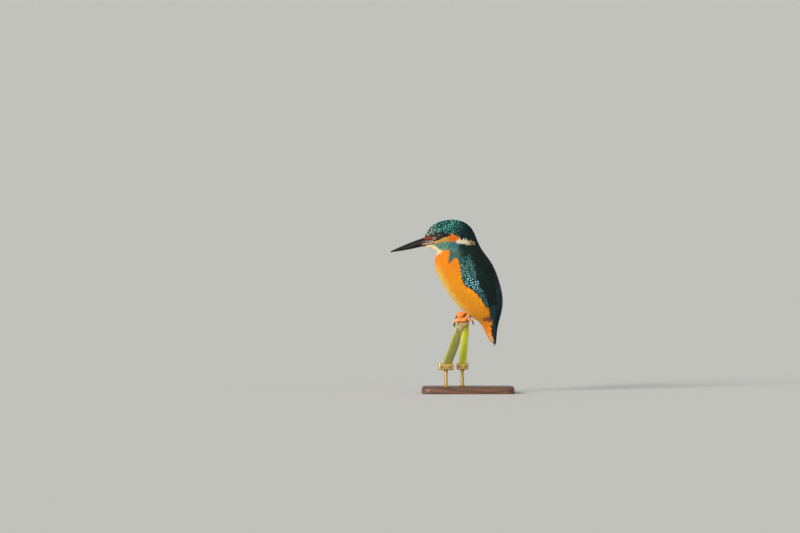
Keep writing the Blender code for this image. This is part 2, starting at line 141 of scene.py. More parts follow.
class Board:
    """The node tree of one material, laid out by expressions."""

    def __init__(self, name: str) -> None:
        """Start an empty material of that name."""
        self.material = bpy.data.materials.new(name)
        self.material.use_nodes = True
        self.tree = self.material.node_tree
        self.tree.nodes.clear()

    def node(
        self, kind: str, settings: dict | None = None, inputs: dict | None = None, output: int | str = 0
    ) -> Wire:
        """Add a node, set it up and feed it.

        Args:
            kind: The node's type.
            settings: Its own properties, set first.
            inputs: Values or wires by socket name or number.
            output: The socket that is returned.

        Returns:
            The wanted output.
        """
        made = self.tree.nodes.new(kind)
        for key, value in (settings or {}).items():
            setattr(made, key, value)
        for key, value in (inputs or {}).items():
            if isinstance(value, Wire):
                self.tree.links.new(value.socket, made.inputs[key])
            elif isinstance(value, tuple) and made.inputs[key].type == "RGBA":
                made.inputs[key].default_value = (*value[:3], 1.0)
            else:
                made.inputs[key].default_value = value
        return Wire(self, made.outputs[output] if made.outputs else None)

    def math(self, operation: str, *values: Wire | float) -> Wire:
        """One Math node of an operation on its inputs."""
        return self.node("ShaderNodeMath", {"operation": operation}, dict(enumerate(values)))

    def mix(self, share: Wire | float, first: Wire | Colour, second: Wire | Colour, way: str = "MIX") -> Wire:
        """First colour turned into second by a share, with a way that is the Mix node's blend type."""
        settings = {"data_type": "RGBA", "blend_type": way}
        return self.node("ShaderNodeMix", settings, {0: share, 6: first, 7: second}, output=2)

    def shaded(self, colour: Wire | Colour, red: Wire, green: Wire, blue: Wire) -> Wire:
        """A colour with a factor on each channel."""
        shade = self.node("ShaderNodeCombineColor", None, {0: red, 1: green, 2: blue})
        return self.mix(1.0, colour, shade, "MULTIPLY")

    def fade(self, value: Wire, low: float, high: float) -> Wire:
        """0 where value is low, 1 where it is high, with a smooth rise between. High may lie below low."""
        inputs = {"Value": value, "From Min": low, "From Max": high}
        return self.node("ShaderNodeMapRange", {"interpolation_type": "SMOOTHSTEP"}, inputs)

    def tagged(self, name: str, output: str = "Color") -> Wire:
        """What a mesh stores under a name."""
        return self.node("ShaderNodeAttribute", {"attribute_name": name}, output=output)

    def parts(self, vector: Wire) -> tuple[Wire, ...]:
        """The three numbers of a vector."""
        outputs = self.node("ShaderNodeSeparateXYZ", None, {0: vector}).socket.node.outputs
        return tuple(Wire(self, output) for output in outputs)

    def at(self, x: Wire, y: Wire, z: Wire) -> Wire:
        """A vector of three numbers."""
        return self.node("ShaderNodeCombineXYZ", None, {0: x, 1: y, 2: z})

    def place(self, x: float = 1.0, y: float = 1.0, z: float = 1.0) -> Wire:
        """Object coordinates in millimetres, with a factor on each axis."""
        inputs = {0: self.node("ShaderNodeTexCoord", output="Object"), 1: (x / MM, y / MM, z / MM)}
        return self.node("ShaderNodeVectorMath", {"operation": "MULTIPLY"}, inputs)

    def noise(self, at: Wire, scale: float, detail: float = 3.0, roughness: float = 0.5) -> Wire:
        """Soft noise about 0.5, of a frequency, with finer layers (detail) of a strength (roughness)."""
        inputs = {"Vector": at, "Scale": scale, "Detail": detail, "Roughness": roughness}
        return self.node("ShaderNodeTexNoise", None, inputs, output="Fac")

    def bump(self, height: Wire, strength: float, distance: float) -> Wire:
        """A normal bent by a height of 0 to 1, where 1 is a distance in millimetres."""
        inputs = {"Height": height, "Strength": strength, "Distance": distance * MM}
        return self.node("ShaderNodeBump", None, inputs)

    def surface(self, **sockets: Wire | float | Colour) -> Material:
        """Close the material with a Principled shader.

        Args:
            sockets: Its inputs, with _ for each space in a name.

        Returns:
            The finished material.
        """
        inputs = {name.replace("_", " "): value for name, value in sockets.items()}
        shader = self.node("ShaderNodeBsdfPrincipled", None, inputs)
        self.node("ShaderNodeOutputMaterial", None, {"Surface": shader})
        return self.material


# ---- plumage colours


class Form(Enum):
    """What the second colour of a feather draws."""

    BAR = 0.0
    SPOT = 0.5
    FRINGE = 1.0
    WEB = 1.5


@dataclass(frozen=True)
class Tone:
    """Colours of the feathers of one patch of plumage."""

    ground: Colour
    mark: Colour = (0.0, 0.0, 0.0)
    strength: float = 0.0
    form: Form = Form.FRINGE


ORANGE = Tone(rgb(252, 140, 6), rgb(255, 180, 46), 0.45)
BELLY = Tone(rgb(255, 160, 2), rgb(255, 196, 52), 0.4)
CROWN = Tone(rgb(0, 34, 36), rgb(98, 208, 192), 0.92, Form.BAR)
# Lighter and darker copies of the crown's colours: painted highlight at its front, painted shade at its rear.
LIT_FOREHEAD = Tone(rgb(22, 58, 46), rgb(196, 232, 196), 0.92, Form.BAR)
SHADED_NAPE = Tone(rgb(3, 22, 24), rgb(20, 70, 76), 0.7, Form.BAR)
MASK = Tone(rgb(14, 15, 15), rgb(40, 44, 44), 0.3)
LORES = Tone(rgb(140, 60, 30), rgb(190, 102, 62), 0.35)
LORES_SHADE = Tone(rgb(62, 14, 12), rgb(84, 28, 20), 0.3)
GAPE_UPPER = Tone(rgb(104, 88, 78))
GAPE_LINE = Tone(rgb(34, 24, 22))
GAPE_PINK = Tone(rgb(186, 138, 110))
GAPE_LOWER = Tone(rgb(36, 31, 23))
LID = Tone(rgb(17, 15, 14))
LORE_GAP = Tone(rgb(150, 118, 98), rgb(205, 176, 150), 0.4)
SUBOCULAR = Tone(rgb(208, 154, 68), rgb(240, 202, 122), 0.4)
EAR = Tone(rgb(240, 114, 18), rgb(252, 156, 58), 0.4)
NECK_PATCH = Tone(rgb(240, 228, 196), rgb(255, 250, 230), 0.4)
NECK_PATCH_REAR = Tone(rgb(158, 128, 84), rgb(196, 166, 120), 0.4)
THROAT = Tone(rgb(255, 244, 188), rgb(255, 252, 224), 0.4)
MALAR = Tone(rgb(88, 136, 116), rgb(136, 182, 156), 0.5)
MALAR_BLUE = Tone(rgb(46, 104, 114), rgb(100, 156, 164), 0.5)
MALAR_FLECK = Tone(rgb(140, 192, 178), rgb(176, 216, 206), 0.5)
BREAST_SIDE = Tone(rgb(70, 110, 98), rgb(108, 146, 126), 0.45)
MANTLE = Tone(rgb(9, 29, 27), rgb(26, 62, 54), 0.5)
AZURE = Tone(rgb(7, 92, 150), rgb(88, 194, 230), 0.8)
# Pale yellow for the front of the belly: partly its own paler colour, partly a painted highlight where the
# light falls on it.
PALE_LIT_FRONT = rgb(255, 226, 124)
UNDERTAIL = Tone(rgb(250, 138, 10), rgb(255, 196, 88), 0.4)
# Dark purple-brown for the painted shadow in the gap between the flank and the undertail feathers.
VENT_SHADOW = Tone(rgb(88, 44, 48), rgb(120, 70, 60), 0.3)
COVERTS = Tone(rgb(10, 66, 66), rgb(160, 214, 200), 0.9, Form.SPOT)
COVERTS_BLUE = Tone(rgb(12, 60, 72), rgb(164, 224, 226), 0.9, Form.SPOT)
SCAPULARS = Tone(rgb(10, 26, 22), rgb(24, 54, 42), 0.55)
FLIGHT = Tone(rgb(9, 16, 18), rgb(12, 56, 64), 0.85, Form.WEB)
TAIL = Tone(rgb(10, 26, 36), rgb(16, 70, 104), 0.8, Form.WEB)


@dataclass
class Tones:
    """The colours of many feathers, a row for each."""

    ground: Array
    mark: Array
    strength: Array
    form: Array

    @classmethod
    def of(cls, tone: Tone, count: int) -> "Tones":
        """The same tone for every feather."""
        ground, mark = np.tile(tone.ground, (count, 1)), np.tile(tone.mark, (count, 1))
        return cls(ground, mark, np.full(count, tone.strength), np.full(count, tone.form.value))

    def paint(self, tone: Tone, share: Array) -> None:
        """Turn feathers to a tone.

        Args:
            tone: The new tone.
            share: How far each feather turns to it.
        """
        self.ground = blend(self.ground, np.array(tone.ground), share)
        self.mark = blend(self.mark, np.array(tone.mark), share)
        self.strength = self.strength + (tone.strength - self.strength) * share
        self.form = np.where(share > 0.5, tone.form.value, self.form)

    def vary(self, dice: Dice, amount: float) -> None:
        """Make each feather a little lighter or darker than the next.

        Args:
            dice: Random draws.
            amount: How strong they are.
        """
        shade = np.exp(dice.normal(0.0, amount, (len(self.ground), 1)))
        self.ground = np.clip(self.ground * shade, 0.0, 1.0)
        self.mark = np.clip(self.mark * shade**0.5, 0.0, 1.0)


@dataclass(frozen=True)
class Patch:
    """A patch of plumage in the profile plane, outlined in millimetres from the eye."""

    tone: Tone
    soft: float
    outline: Profile

    def share(self, places: Array) -> Array:
        """How far inside the patch each place is.

        Args:
            places: Offsets from the eye, (x, z) a row.

        Returns:
            0 outside to 1 inside.
        """
        corners = np.array(self.outline)
        ends = np.roll(corners, -1, axis=0)
        inside = np.zeros(len(places), bool)
        nearest = np.full(len(places), np.inf)
        for (x0, z0), (x1, z1) in zip(corners, ends):
            edge = np.array((x1 - x0, z1 - z0))
            offset = places - (x0, z0)
            along = np.clip(offset @ edge / (edge @ edge), 0.0, 1.0)
            nearest = np.minimum(nearest, lengths_of(offset - along[:, None] * edge))
            if z0 != z1:
                crossing = (z0 > places[:, 1]) != (z1 > places[:, 1])
                inside ^= crossing & (offset[:, 0] < edge[0] * offset[:, 1] / edge[1])
        return ramp(-self.soft, self.soft, np.where(inside, nearest, -nearest))


CROWN_PATCH = Patch(CROWN, 0.15, (
    (-19.0, -1.2), (-14.8, -0.6), (-8.2, 0.4), (-2.8, 0.8), (-1.4, 1.8), (0.4, 3.5), (2.5, 3.4),
    (6.5, 2.2), (10.3, 1.6), (13.0, 1.3), (19.4, -2.0), (24.1, -3.2), (30.8, -5.1), (34.6, -7.6),
    (50.0, -7.8), (50.0, 30.0), (-25.0, 30.0),
))
MANTLE_PATCH = Patch(MANTLE, 0.25, (
    (-5.8, -8.6), (-2.5, -7.2), (1.7, -6.0), (8.0, -5.6), (10.5, -5.0), (15.6, -4.8), (19.4, -6.8),
    (26.8, -8.6), (33.4, -7.4), (34.6, -5.8), (80.0, -6.8), (80.0, -114.0), (53.0, -114.0),
    (51.5, -104.5), (50.2, -95.0), (49.0, -85.0), (49.1, -81.0), (48.2, -75.0), (45.8, -67.0),
    (42.5, -60.0), (30.0, -49.0), (27.0, -40.0), (18.8, -26.5), (16.6, -21.2), (14.2, -20.8),
    (11.8, -23.4), (9.4, -26.4), (7.8, -25.6), (8.2, -21.7), (9.2, -17.9), (9.6, -13.4), (1.7, -13.5),
    (-1.5, -12.0), (-4.1, -10.1),
))
THROAT_PATCH = Patch(THROAT, 0.8, (
    (-22.0, -7.5), (-5.8, -8.9), (-4.1, -10.1), (-1.5, -12.0), (1.7, -13.5), (2.6, -14.6), (0.2, -17.2),
    (-2.6, -19.4), (-10.0, -17.0), (-20.0, -13.0),
))
EAR_PATCH = Patch(EAR, 0.2, (
    (8.3, -4.6), (8.4, -1.2), (10.6, 1.0), (13.6, 1.0), (18.0, -0.9), (19.7, -2.0), (17.5, -3.6),
    (15.4, -5.2), (11.8, -5.6),
))
NECK_PATCH_AREA = Patch(NECK_PATCH, 0.2, (
    (14.9, -5.8), (16.8, -3.9), (19.4, -2.4), (25.1, -3.1), (31.2, -4.9), (33.4, -6.6), (34.8, -8.6),
    (33.6, -9.0), (26.8, -8.8), (19.2, -7.4),
))
SUBOCULAR_PATCH = Patch(SUBOCULAR, 0.35, (
    (-6.0, -6.2), (-4.5, -5.2), (-1.5, -4.3), (2.0, -3.0), (5.1, -1.2), (8.3, -1.0), (8.7, -4.1),
    (7.5, -5.5), (2.3, -5.8), (-2.5, -6.6), (-5.0, -7.0),
))
MASK_PATCH = Patch(MASK, 0.3, (
    (-9.6, -0.2), (-2.8, 0.5), (-1.4, 2.0), (0.4, 3.7), (2.5, 3.6), (6.5, 2.4), (10.2, 1.5), (9.4, 0.6),
    (6.2, -0.4), (3.4, -1.6), (1.6, -3.0), (-1.5, -4.3), (-4.5, -5.2), (-6.8, -4.8), (-7.4, -1.0),
))
FACE_UNDERLAY = Patch(MASK, 0.2, (
    (-24.0, 1.5), (-2.8, 2.4), (0.4, 5.2), (6.5, 5.0), (11.6, 3.6), (10.4, 0.9), (8.3, -1.0), (8.3, -4.6),
    (2.0, -5.4), (-6.0, -6.0), (-24.0, -6.0),
))
LORES_PATCH = Patch(LORES, 0.3, (
    (-15.8, -1.0), (-14.0, -0.7), (-9.0, -0.5), (-7.3, -1.3), (-7.3, -4.2), (-14.6, -4.4), (-16.4, -3.2),
))
LORES_SHADE_PATCH = Patch(LORES_SHADE, 0.3, (
    (-15.6, -3.9), (-7.2, -3.7), (-7.0, -4.9), (-15.6, -5.1),
))
LORE_GAP_PATCH = Patch(LORE_GAP, 0.3, (
    (-7.1, -1.8), (-5.6, -1.1), (-3.2, -1.1), (-2.7, -2.6), (-4.2, -4.2), (-6.8, -4.6),
))
GAPE_PATCHES = (
    Patch(GAPE_UPPER, 0.25, (
        (-20.0, -6.4), (-14.8, -4.9), (-7.2, -4.4), (-5.0, -5.2), (-5.8, -5.8), (-9.0, -6.5),
        (-20.0, -8.0),
    )),
    Patch(GAPE_LINE, 0.15, (
        (-20.0, -7.9), (-14.8, -6.8), (-9.0, -6.3), (-9.3, -7.1), (-14.8, -7.5), (-20.0, -8.6),
    )),
    Patch(GAPE_PINK, 0.25, (
        (-20.0, -8.6), (-14.8, -7.5), (-9.4, -6.9), (-5.6, -5.6), (-4.6, -6.6), (-9.0, -8.3),
        (-14.8, -8.9), (-20.0, -9.6),
    )),
    Patch(GAPE_LOWER, 0.25, (
        (-20.0, -9.6), (-14.8, -8.9), (-9.0, -8.2), (-5.0, -7.0), (-4.6, -8.6), (-9.0, -9.1),
        (-14.8, -9.9), (-20.0, -10.6),
    )),
)
GAPE_AREA = Patch(GAPE_LOWER, 0.3, (
    (-17.0, -4.7), (-7.2, -4.6), (-4.8, -5.3), (-4.8, -8.0), (-6.0, -8.6), (-9.0, -9.0), (-17.0, -10.0),
))
# Where the painted shadow lies, between the flank, the wing's lower edge and the undertail feathers.
VENT_SHADOW_PATCH = Patch(VENT_SHADOW, 0.9, (
    (38.0, -78.6), (46.4, -76.4), (49.8, -73.0), (50.0, -81.4), (43.0, -80.8),
))
FACE_AREA = Patch(MASK, 0.2, (
    (-24.0, -1.6), (-8.0, 0.2), (-2.8, 0.5), (0.4, 3.5), (2.5, 3.4), (6.5, 2.3), (9.8, 1.5), (8.8, -1.0),
    (8.9, -4.1), (7.5, -6.4), (-2.5, -7.6), (-5.8, -8.9), (-22.0, -9.5),
))
COVERT_PATCH = Patch(COVERTS, 0.9, (
    (16.0, -18.5), (23.5, -15.5), (29.8, -19.0), (32.9, -33.1), (36.8, -42.6), (39.6, -51.1),
    (46.4, -63.4), (44.4, -67.0), (36.0, -57.0), (28.0, -52.5), (22.0, -51.0), (14.0, -33.1),
))


@dataclass
class Markings:
    """Where each colour of the plumage lies. Skin and feathers both ask it."""

    eye: Array
    azure_half_width: float = 5.0
    azure_top: float = -24.0
    pale_lit_front_half_width: float = 15.0

    def offsets(self, points: Array) -> Array:
        """Profile places counted from the eye."""
        return points[:, (0, 2)] - self.eye[[0, 2]]

    def body(self, points: Array, normals: Array) -> Tones:
        """Tones of the head, neck, trunk and tail.

        Args:
            points: Places on the body.
            normals: Their outward directions.

        Returns:
            A tone for each place.
        """
        at = self.offsets(points)
        x, z = at.T
        aside = np.abs(points[:, 1])
        tones = Tones.of(ORANGE, len(points))
        tones.paint(BELLY, ramp(-26.0, -46.0, z))
        tones.paint(UNDERTAIL, ramp(-78.0, -84.0, z))
        # The forward-facing belly is painted pale yellow: partly its own paler colour, partly a painted
        # highlight from the light in front.
        front = ramp(0.2, 0.7, -normals[:, 0]) * ramp(self.pale_lit_front_half_width, 5.0, aside)
        pale = front * ramp(-22.0, -36.0, z) * ramp(-84.0, -66.0, z) * 0.85
        tones.ground = blend(tones.ground, np.array(PALE_LIT_FRONT), pale)
        rim = ramp(-90.0, -104.0, z) * ramp(-0.2, 0.5, -normals[:, 0])
        tones.ground = blend(tones.ground, np.array(THROAT.ground), 0.4 * rim)
        # Painted shadow between the flank and the undertail feathers.
        tones.paint(VENT_SHADOW, 0.85 * VENT_SHADOW_PATCH.share(at))
        tones.paint(THROAT, THROAT_PATCH.share(at))
        mantle = MANTLE_PATCH.share(at)
        tones.paint(MANTLE, mantle)
        tones.paint(MALAR, mantle * ramp(20.0, 14.0, x) * ramp(-27.0, -20.0, z))
        blue = ramp(4.0, 12.0, x) * ramp(22.0, 13.0, x) * ramp(-16.0, -9.0, z)
        tones.paint(MALAR_BLUE, mantle * blue)
        tones.paint(BREAST_SIDE, mantle * ramp(7.0, 10.0, x) * ramp(23.0, 16.0, x) * ramp(-12.0, -15.0, z))
        fleck = np.sin(2.3 * x + 1.6 * np.sin(1.9 * z)) * np.sin(2.7 * z + 0.8 * x)
        flecked = ramp(17.0, 11.0, x) * ramp(-17.0, -12.0, z) * ramp(0.25, 0.75, fleck)
        tones.paint(MALAR_FLECK, mantle * flecked * 0.8)
        behind = ramp(0.25, 0.6, normals[:, 0])
        wide = self.azure_half_width * (0.55 + 0.45 * ramp(-20.0, -70.0, z))
        azure = mantle * behind * ramp(wide + 2.6, wide - 1.6, aside)
        tones.paint(AZURE, azure * ramp(self.azure_top + 6.0, self.azure_top - 12.0, z))
        tones.paint(TAIL, mantle * ramp(-90.0, -96.0, z))
        tones.paint(TAIL, ramp(-103.2, -104.6, z))
        self._paint_head(tones, at)
        return tones

    @staticmethod
    def _paint_head(tones: Tones, at: Array) -> None:
        """Paint the crown and face over what lies under them.

        Args:
            tones: A tone for each place.
            at: Offsets of the places from the eye.
        """
        x, z = at.T
        crown = CROWN_PATCH.share(at)
        tones.paint(CROWN, crown)
        # The crown is painted lighter towards the forehead (painted highlight) and darker towards the nape
        # and just above the ear (painted shade).
        tones.paint(LIT_FOREHEAD, crown * ramp(4.0, -9.0, x + 0.5 * z))
        tones.paint(SHADED_NAPE, crown * ramp(7.0, 23.0, x - 0.35 * z))
        tones.paint(SHADED_NAPE, 0.45 * crown * ramp(9.5, 4.0, z) * ramp(3.0, 9.0, x))
        tones.paint(MASK, FACE_UNDERLAY.share(at) * (1.0 - crown))
        for patch in (EAR_PATCH, NECK_PATCH_AREA):
            tones.paint(patch.tone, patch.share(at))
        tones.paint(NECK_PATCH_REAR, NECK_PATCH_AREA.share(at) * ramp(23.0, 31.0, x))
        patches = (SUBOCULAR_PATCH, MASK_PATCH, LORES_PATCH, LORES_SHADE_PATCH, LORE_GAP_PATCH, GAPE_AREA)
        for patch in (*patches, *GAPE_PATCHES):
            tones.paint(patch.tone, patch.share(at))
        tones.paint(GAPE_LOWER, 0.65 * GAPE_PATCHES[0].share(at) * ramp(-9.5, -14.0, x))

    def bill(self, points: Array) -> tuple[Array, Array]:
        """Bands of bare flesh that run from the gape on to the bill.

        Args:
            points: Places on the bill.

        Returns:
            Their colours, and how much each shows.
        """
        at = self.offsets(points)
        tones = Tones.of(GAPE_LOWER, len(points))
        shown = np.zeros(len(points))
        for patch, weight in zip(GAPE_PATCHES, (0.95, 0.8, 1.0)):
            share = patch.share(at)
            tones.paint(patch.tone, share)
            shown = np.maximum(shown, share * weight)
        tones.paint(GAPE_LOWER, 0.65 * GAPE_PATCHES[0].share(at))
        return tones.ground, shown * ramp(-18.2, -14.6, at[:, 0])

    def wing(self, points: Array) -> Tones:
        """Tones of the small feathers of a folded wing.

        Args:
            points: Places on the wing.

        Returns:
            A tone for each place.
        """
        at = self.offsets(points)
        coverts = COVERT_PATCH.share(at)
        tones = Tones.of(SCAPULARS, len(points))
        tones.paint(COVERTS, coverts)
        tones.paint(COVERTS_BLUE, coverts * ramp(-36.0, -46.0, at[:, 1]))
        tones.strength *= 0.2 + 0.8 * ramp(-58.0, -45.0, at[:, 1]) * ramp(-17.0, -25.0, at[:, 1])
        return tones


# ---- finishes of the plumage


@dataclass(frozen=True)
class FeatherFinish:
    """Feathers with a shaft, barbs and a second colour, from what their mesh stores.

    A mesh stores ground and mark colours, and vane, which is the place across (-1 to 1) and along (0 to 1)
    a feather with a number of its own.
    """

    name: str
    roughness: float
    sheen: float
    coat: float
    barbs: float
    barb_contrast: float
    root_shade: float
    specular: float

    def build(self) -> Material:
        """Lay out the material.

        Returns:
            The finished material.
        """
        board = Board(self.name)
        fade = board.fade
        ground, form = board.tagged("ground"), board.tagged("ground", "Alpha")
        mark, strength = board.tagged("mark"), board.tagged("mark", "Alpha")
        across, along, own = board.parts(board.tagged("vane", "Vector"))
        side = abs(across)
        wander = board.noise(board.place(), 1.4, 2.0)
        bent = along + side * 0.10 + (wander - 0.5) * 0.10
        bar = fade(bent, 0.72, 0.82) * fade(bent, 0.98, 0.90) * fade(side, 1.1, 0.6) * (own * 0.8 + 0.2)
        reach = (side * 1.45) ** 2.0 + ((along + own * 0.06 - 0.88) * 8.0) ** 2.0
        spot = fade(reach, 0.75, 0.15) * fade(own, 0.0, 0.3)
        fringe = fade(side + along * 0.45 + wander * 0.3, 0.85, 1.4)
        is_spot = fade(form, 0.3, 0.45) * fade(form, 0.7, 0.55)
        is_fringe = fade(form, 0.6, 0.9) * fade(form, 1.4, 1.1)
        web = fade(across, 0.06, -0.10) * fade(form, 1.1, 1.4)
        drawn = (bar * fade(form, 0.3, 0.1) + spot * is_spot + fringe * is_fringe + web) * strength
        phase = (along * self.barbs - side * self.barbs * 0.45 + own * 6.0) * math.tau
        barb = board.math("SINE", phase) * 0.5 + 0.5
        shaft = fade(side, 0.12, 0.0) * 0.35
        light = 1.0 - barb * self.barb_contrast - shaft * 0.3 + (wander - 0.5) * 0.2
        light = light * (1.0 - fade(along, 0.55, 0.0) * self.root_shade)
        return board.surface(
            Base_Color=board.shaded(board.mix(drawn, ground, mark), light, light, light),
            Roughness=self.roughness + barb * 0.12 - shaft * 0.3,
            Normal=board.bump(barb * 0.5 + fade(side, 0.16, 0.0) * 0.5, 0.5, 0.04),
            Sheen_Weight=self.sheen,
            Sheen_Roughness=0.45,
            Coat_Weight=self.coat,
            Coat_Roughness=0.4,
            Specular_IOR_Level=self.specular,
        )


SOFT_FEATHERS = FeatherFinish("soft_feathers", 0.66, 0.08, 0.0, 9.0, 0.05, 0.05, 0.15)
GLOSSY_FEATHERS = FeatherFinish("glossy_feathers", 0.56, 0.0, 0.0, 12.0, 0.22, 0.40, 0.16)
FLIGHT_FEATHERS = FeatherFinish("flight_feathers", 0.46, 0.0, 0.05, 70.0, 0.22, 0.15, 0.25)


@dataclass(frozen=True)
class SkinFinish:
    """The downy skin that shows only between feathers, bare on the lids and at the gape."""

    name: str = "downy_skin"

    def build(self) -> Material:
        """Lay out the material.

        Returns:
            The finished material.
        """
        board = Board(self.name)
        at = board.place()
        down = board.noise(at, 2.6, 4.0, 0.7)
        ground, bare = board.tagged("ground"), board.tagged("ground", "Alpha")
        dark = board.mix(0.25 + down * 0.4, ground, (0.01, 0.01, 0.01))
        wrinkle = board.noise(at, 6.0, 3.0, 0.6)
        lid = board.mix(wrinkle * 0.3, ground, (0.05, 0.045, 0.04))
        return board.surface(
            Base_Color=board.mix(bare, dark, lid),
            Roughness=0.8 - bare * 0.35,
            Normal=board.bump(down * (1.0 - bare) + wrinkle * bare, 0.6, 0.15),
        )


# ---- meshes


def object_of(name: str, mesh: Mesh, material: Material) -> bpy.types.Object:
    """Show a mesh as an object.

    Args:
        name: The name of both.
        mesh: The mesh.
        material: Its material.

    Returns:
        The object, in the scene.
    """
    mesh.name = name
    mesh.materials.clear()
    mesh.materials.append(material)
    obj = bpy.data.objects.new(name, mesh)
    bpy.context.scene.collection.objects.link(obj)
    return obj


def show(name: str, mesh: Mesh, finish: Material, slot: str, *nodes: str) -> None:
    """Show a mesh as a piece that rides with the model.

    Args:
        name: The piece's name.
        mesh: Its mesh.
        finish: Its material.
        slot: Not used.
        nodes: The CAD nodes that it stands for.
    """
    obj = object_of(name, mesh, finish)
    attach(obj, BODY)
    if nodes:
        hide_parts(*nodes)
    LOG.info("%s: %d triangles", name, len(mesh.loops) - 2 * len(mesh.polygons))


def raw_mesh(name: str, points: Array, corners: Array, starts: Array) -> Mesh:
    """A mesh from whole arrays.

    Args:
        name: Its name.
        points: Vertices in millimetres.
        corners: The vertex of each face corner.
        starts: Where each face begins in corners.

    Returns:
        The mesh, in metres.
    """
    mesh = bpy.data.meshes.new(name)
    mesh.vertices.add(len(points))
    mesh.vertices.foreach_set("co", (points * MM).astype(np.float32).ravel())
    mesh.loops.add(len(corners))
    mesh.loops.foreach_set("vertex_index", corners.astype(np.int32))
    mesh.polygons.add(len(starts))
    mesh.polygons.foreach_set("loop_start", starts.astype(np.int32))
    mesh.update(calc_edges=True)
    return mesh


def quad_mesh(name: str, points: Array, faces: Sequence[Sequence[int]]) -> Mesh:
    """A mesh of faces of any size, whose points are in millimetres."""
    starts = np.cumsum([0] + [len(face) for face in faces[:-1]])
    return raw_mesh(name, np.asarray(points), np.array([corner for face in faces for corner in face]), starts)


def store(mesh: Mesh, name: str, values: Array) -> None:
    """Store a colour with its share, a vector or a number for each vertex.

    Args:
        mesh: The mesh.
        name: What the shader asks for.
        values: A row of four, three or one for each vertex.
    """
    width = values.size // len(values)
    kind, key = {4: ("FLOAT_COLOR", "color"), 3: ("FLOAT_VECTOR", "vector"), 1: ("FLOAT", "value")}[width]
    attribute = mesh.attributes.new(name, kind, "POINT")
    attribute.data.foreach_set(key, values.astype(np.float32).ravel())


def numbers(items: bpy.types.bpy_prop_collection, key: str, width: int, kind: type = np.float32) -> Array:
    """What a mesh's items hold under a key, a row for each.

    Args:
        items: The items.
        key: Their property.
        width: How many numbers that has.
        kind: Their type.

    Returns:
        The rows.
    """
    flat = np.empty(len(items) * width, kind)
    items.foreach_get(key, flat)
    return flat.reshape(-1, width)


def points_of(mesh: Mesh) -> Array:
    """The vertices of a mesh in millimetres."""
    return numbers(mesh.vertices, "co", 3).astype(float) / MM


def normals_of(mesh: Mesh) -> Array:
    """The vertex normals of a mesh."""
    return numbers(mesh.vertex_normals, "vector", 3).astype(float)


def move_points(mesh: Mesh, points: Array) -> None:
    """Put the vertices of a mesh at places in millimetres."""
    mesh.vertices.foreach_set("co", (points * MM).astype(np.float32).ravel())
    mesh.update()


def edges_of(mesh: Mesh) -> Array:
    """The vertex pairs of a mesh's edges."""
    return numbers(mesh.edges, "vertices", 2, np.int32)


def box_of(node: str) -> tuple[Array, Array]:
    """The lowest and the highest corner of a CAD node in millimetres."""
    low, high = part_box(node)
    return np.array(low) / MM, np.array(high) / MM


@contextmanager
def edited(mesh: Mesh) -> Iterator[bmesh.types.BMesh]:
    """A mesh opened for edits, which it keeps.

    Args:
        mesh: The mesh.

    Returns:
        What is edited.
    """
    shaped = bmesh.new()
    shaped.from_mesh(mesh)
    shaped.verts.ensure_lookup_table()
    yield shaped
    shaped.to_mesh(mesh)
    shaped.free()


def node_copy(node: str) -> Mesh:
    """A copy of a CAD node's mesh with its vertices joined.

    Args:
        node: The node.

    Returns:
        The copy.
    """
    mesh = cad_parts[node].data.copy()
    with edited(mesh) as shaped:
        bmesh.ops.remove_doubles(shaped, verts=shaped.verts, dist=JOIN_WITHIN * MM)
    return mesh


def relaxed(points: Array, edges: Array, rounds: int, share: float = 0.5) -> Array:
    """Points drawn towards the middle of their neighbours.

    Args:
        points: The points.
        edges: Which are neighbours.
        rounds: How often.
        share: How far each time.

    Returns:
        The smoother points.
    """
    count = np.maximum(np.bincount(edges.ravel(), minlength=len(points)), 1)[:, None]
    for _ in range(rounds):
        total = np.zeros_like(points)
        for axis in range(points.shape[1]):
            values = points[:, axis]
            total[:, axis] = np.bincount(edges[:, 0], values[edges[:, 1]], len(points))
            total[:, axis] += np.bincount(edges[:, 1], values[edges[:, 0]], len(points))
        points = points + (total / count - points) * share
    return points


def joined_nodes(names: Sequence[str], swell: float) -> Mesh:
    """One mesh of copies of CAD nodes, each swollen a little so that thin cuts between them close.

    Args:
        names: The nodes.
        swell: How far their surfaces move out, in millimetres.

    Returns:
        The mesh.
    """
    gathered = bmesh.new()
    for name in names:
        copy = node_copy(name)
        with edited(copy) as single:
            single.normal_update()
            for vertex in single.verts:
                vertex.co += vertex.normal * swell * MM
        gathered.from_mesh(copy)
        bpy.data.meshes.remove(copy)
    mesh = bpy.data.meshes.new("gathered")
    gathered.to_mesh(mesh)
    gathered.free()
    return mesh


def tree_of_nodes(*names: str) -> BVHTree:
    """The surface of CAD nodes for rays and nearest points.

    Args:
        names: The nodes.

    Returns:
        Their tree.
    """
    mesh = joined_nodes(names, 0.0)
    tree = tree_of(mesh)
    bpy.data.meshes.remove(mesh)
    return tree


def filled(values: Array) -> Array:
    """A row of values whose gaps are bridged in a straight line."""
    met = np.flatnonzero(~np.isnan(values))
    return np.interp(np.arange(len(values)), met, values[met])


def smoothed(values: Array, kernel: Sequence[float], **padding: str) -> Array:
    """Columns of values, each blurred from row to row.

    Args:
        values: The values, (row, column).
        kernel: Weights of the rows about each, of an odd count.
        padding: How numpy carries the values on past both ends.

    Returns:
        The smoother values.
    """
    pad = len(kernel) // 2
    padded = np.pad(values, ((pad, pad), (0, 0)), **padding)
    weights = np.array(kernel) / np.sum(kernel)
    return np.stack([np.convolve(column, weights, "valid") for column in padded.T], 1)


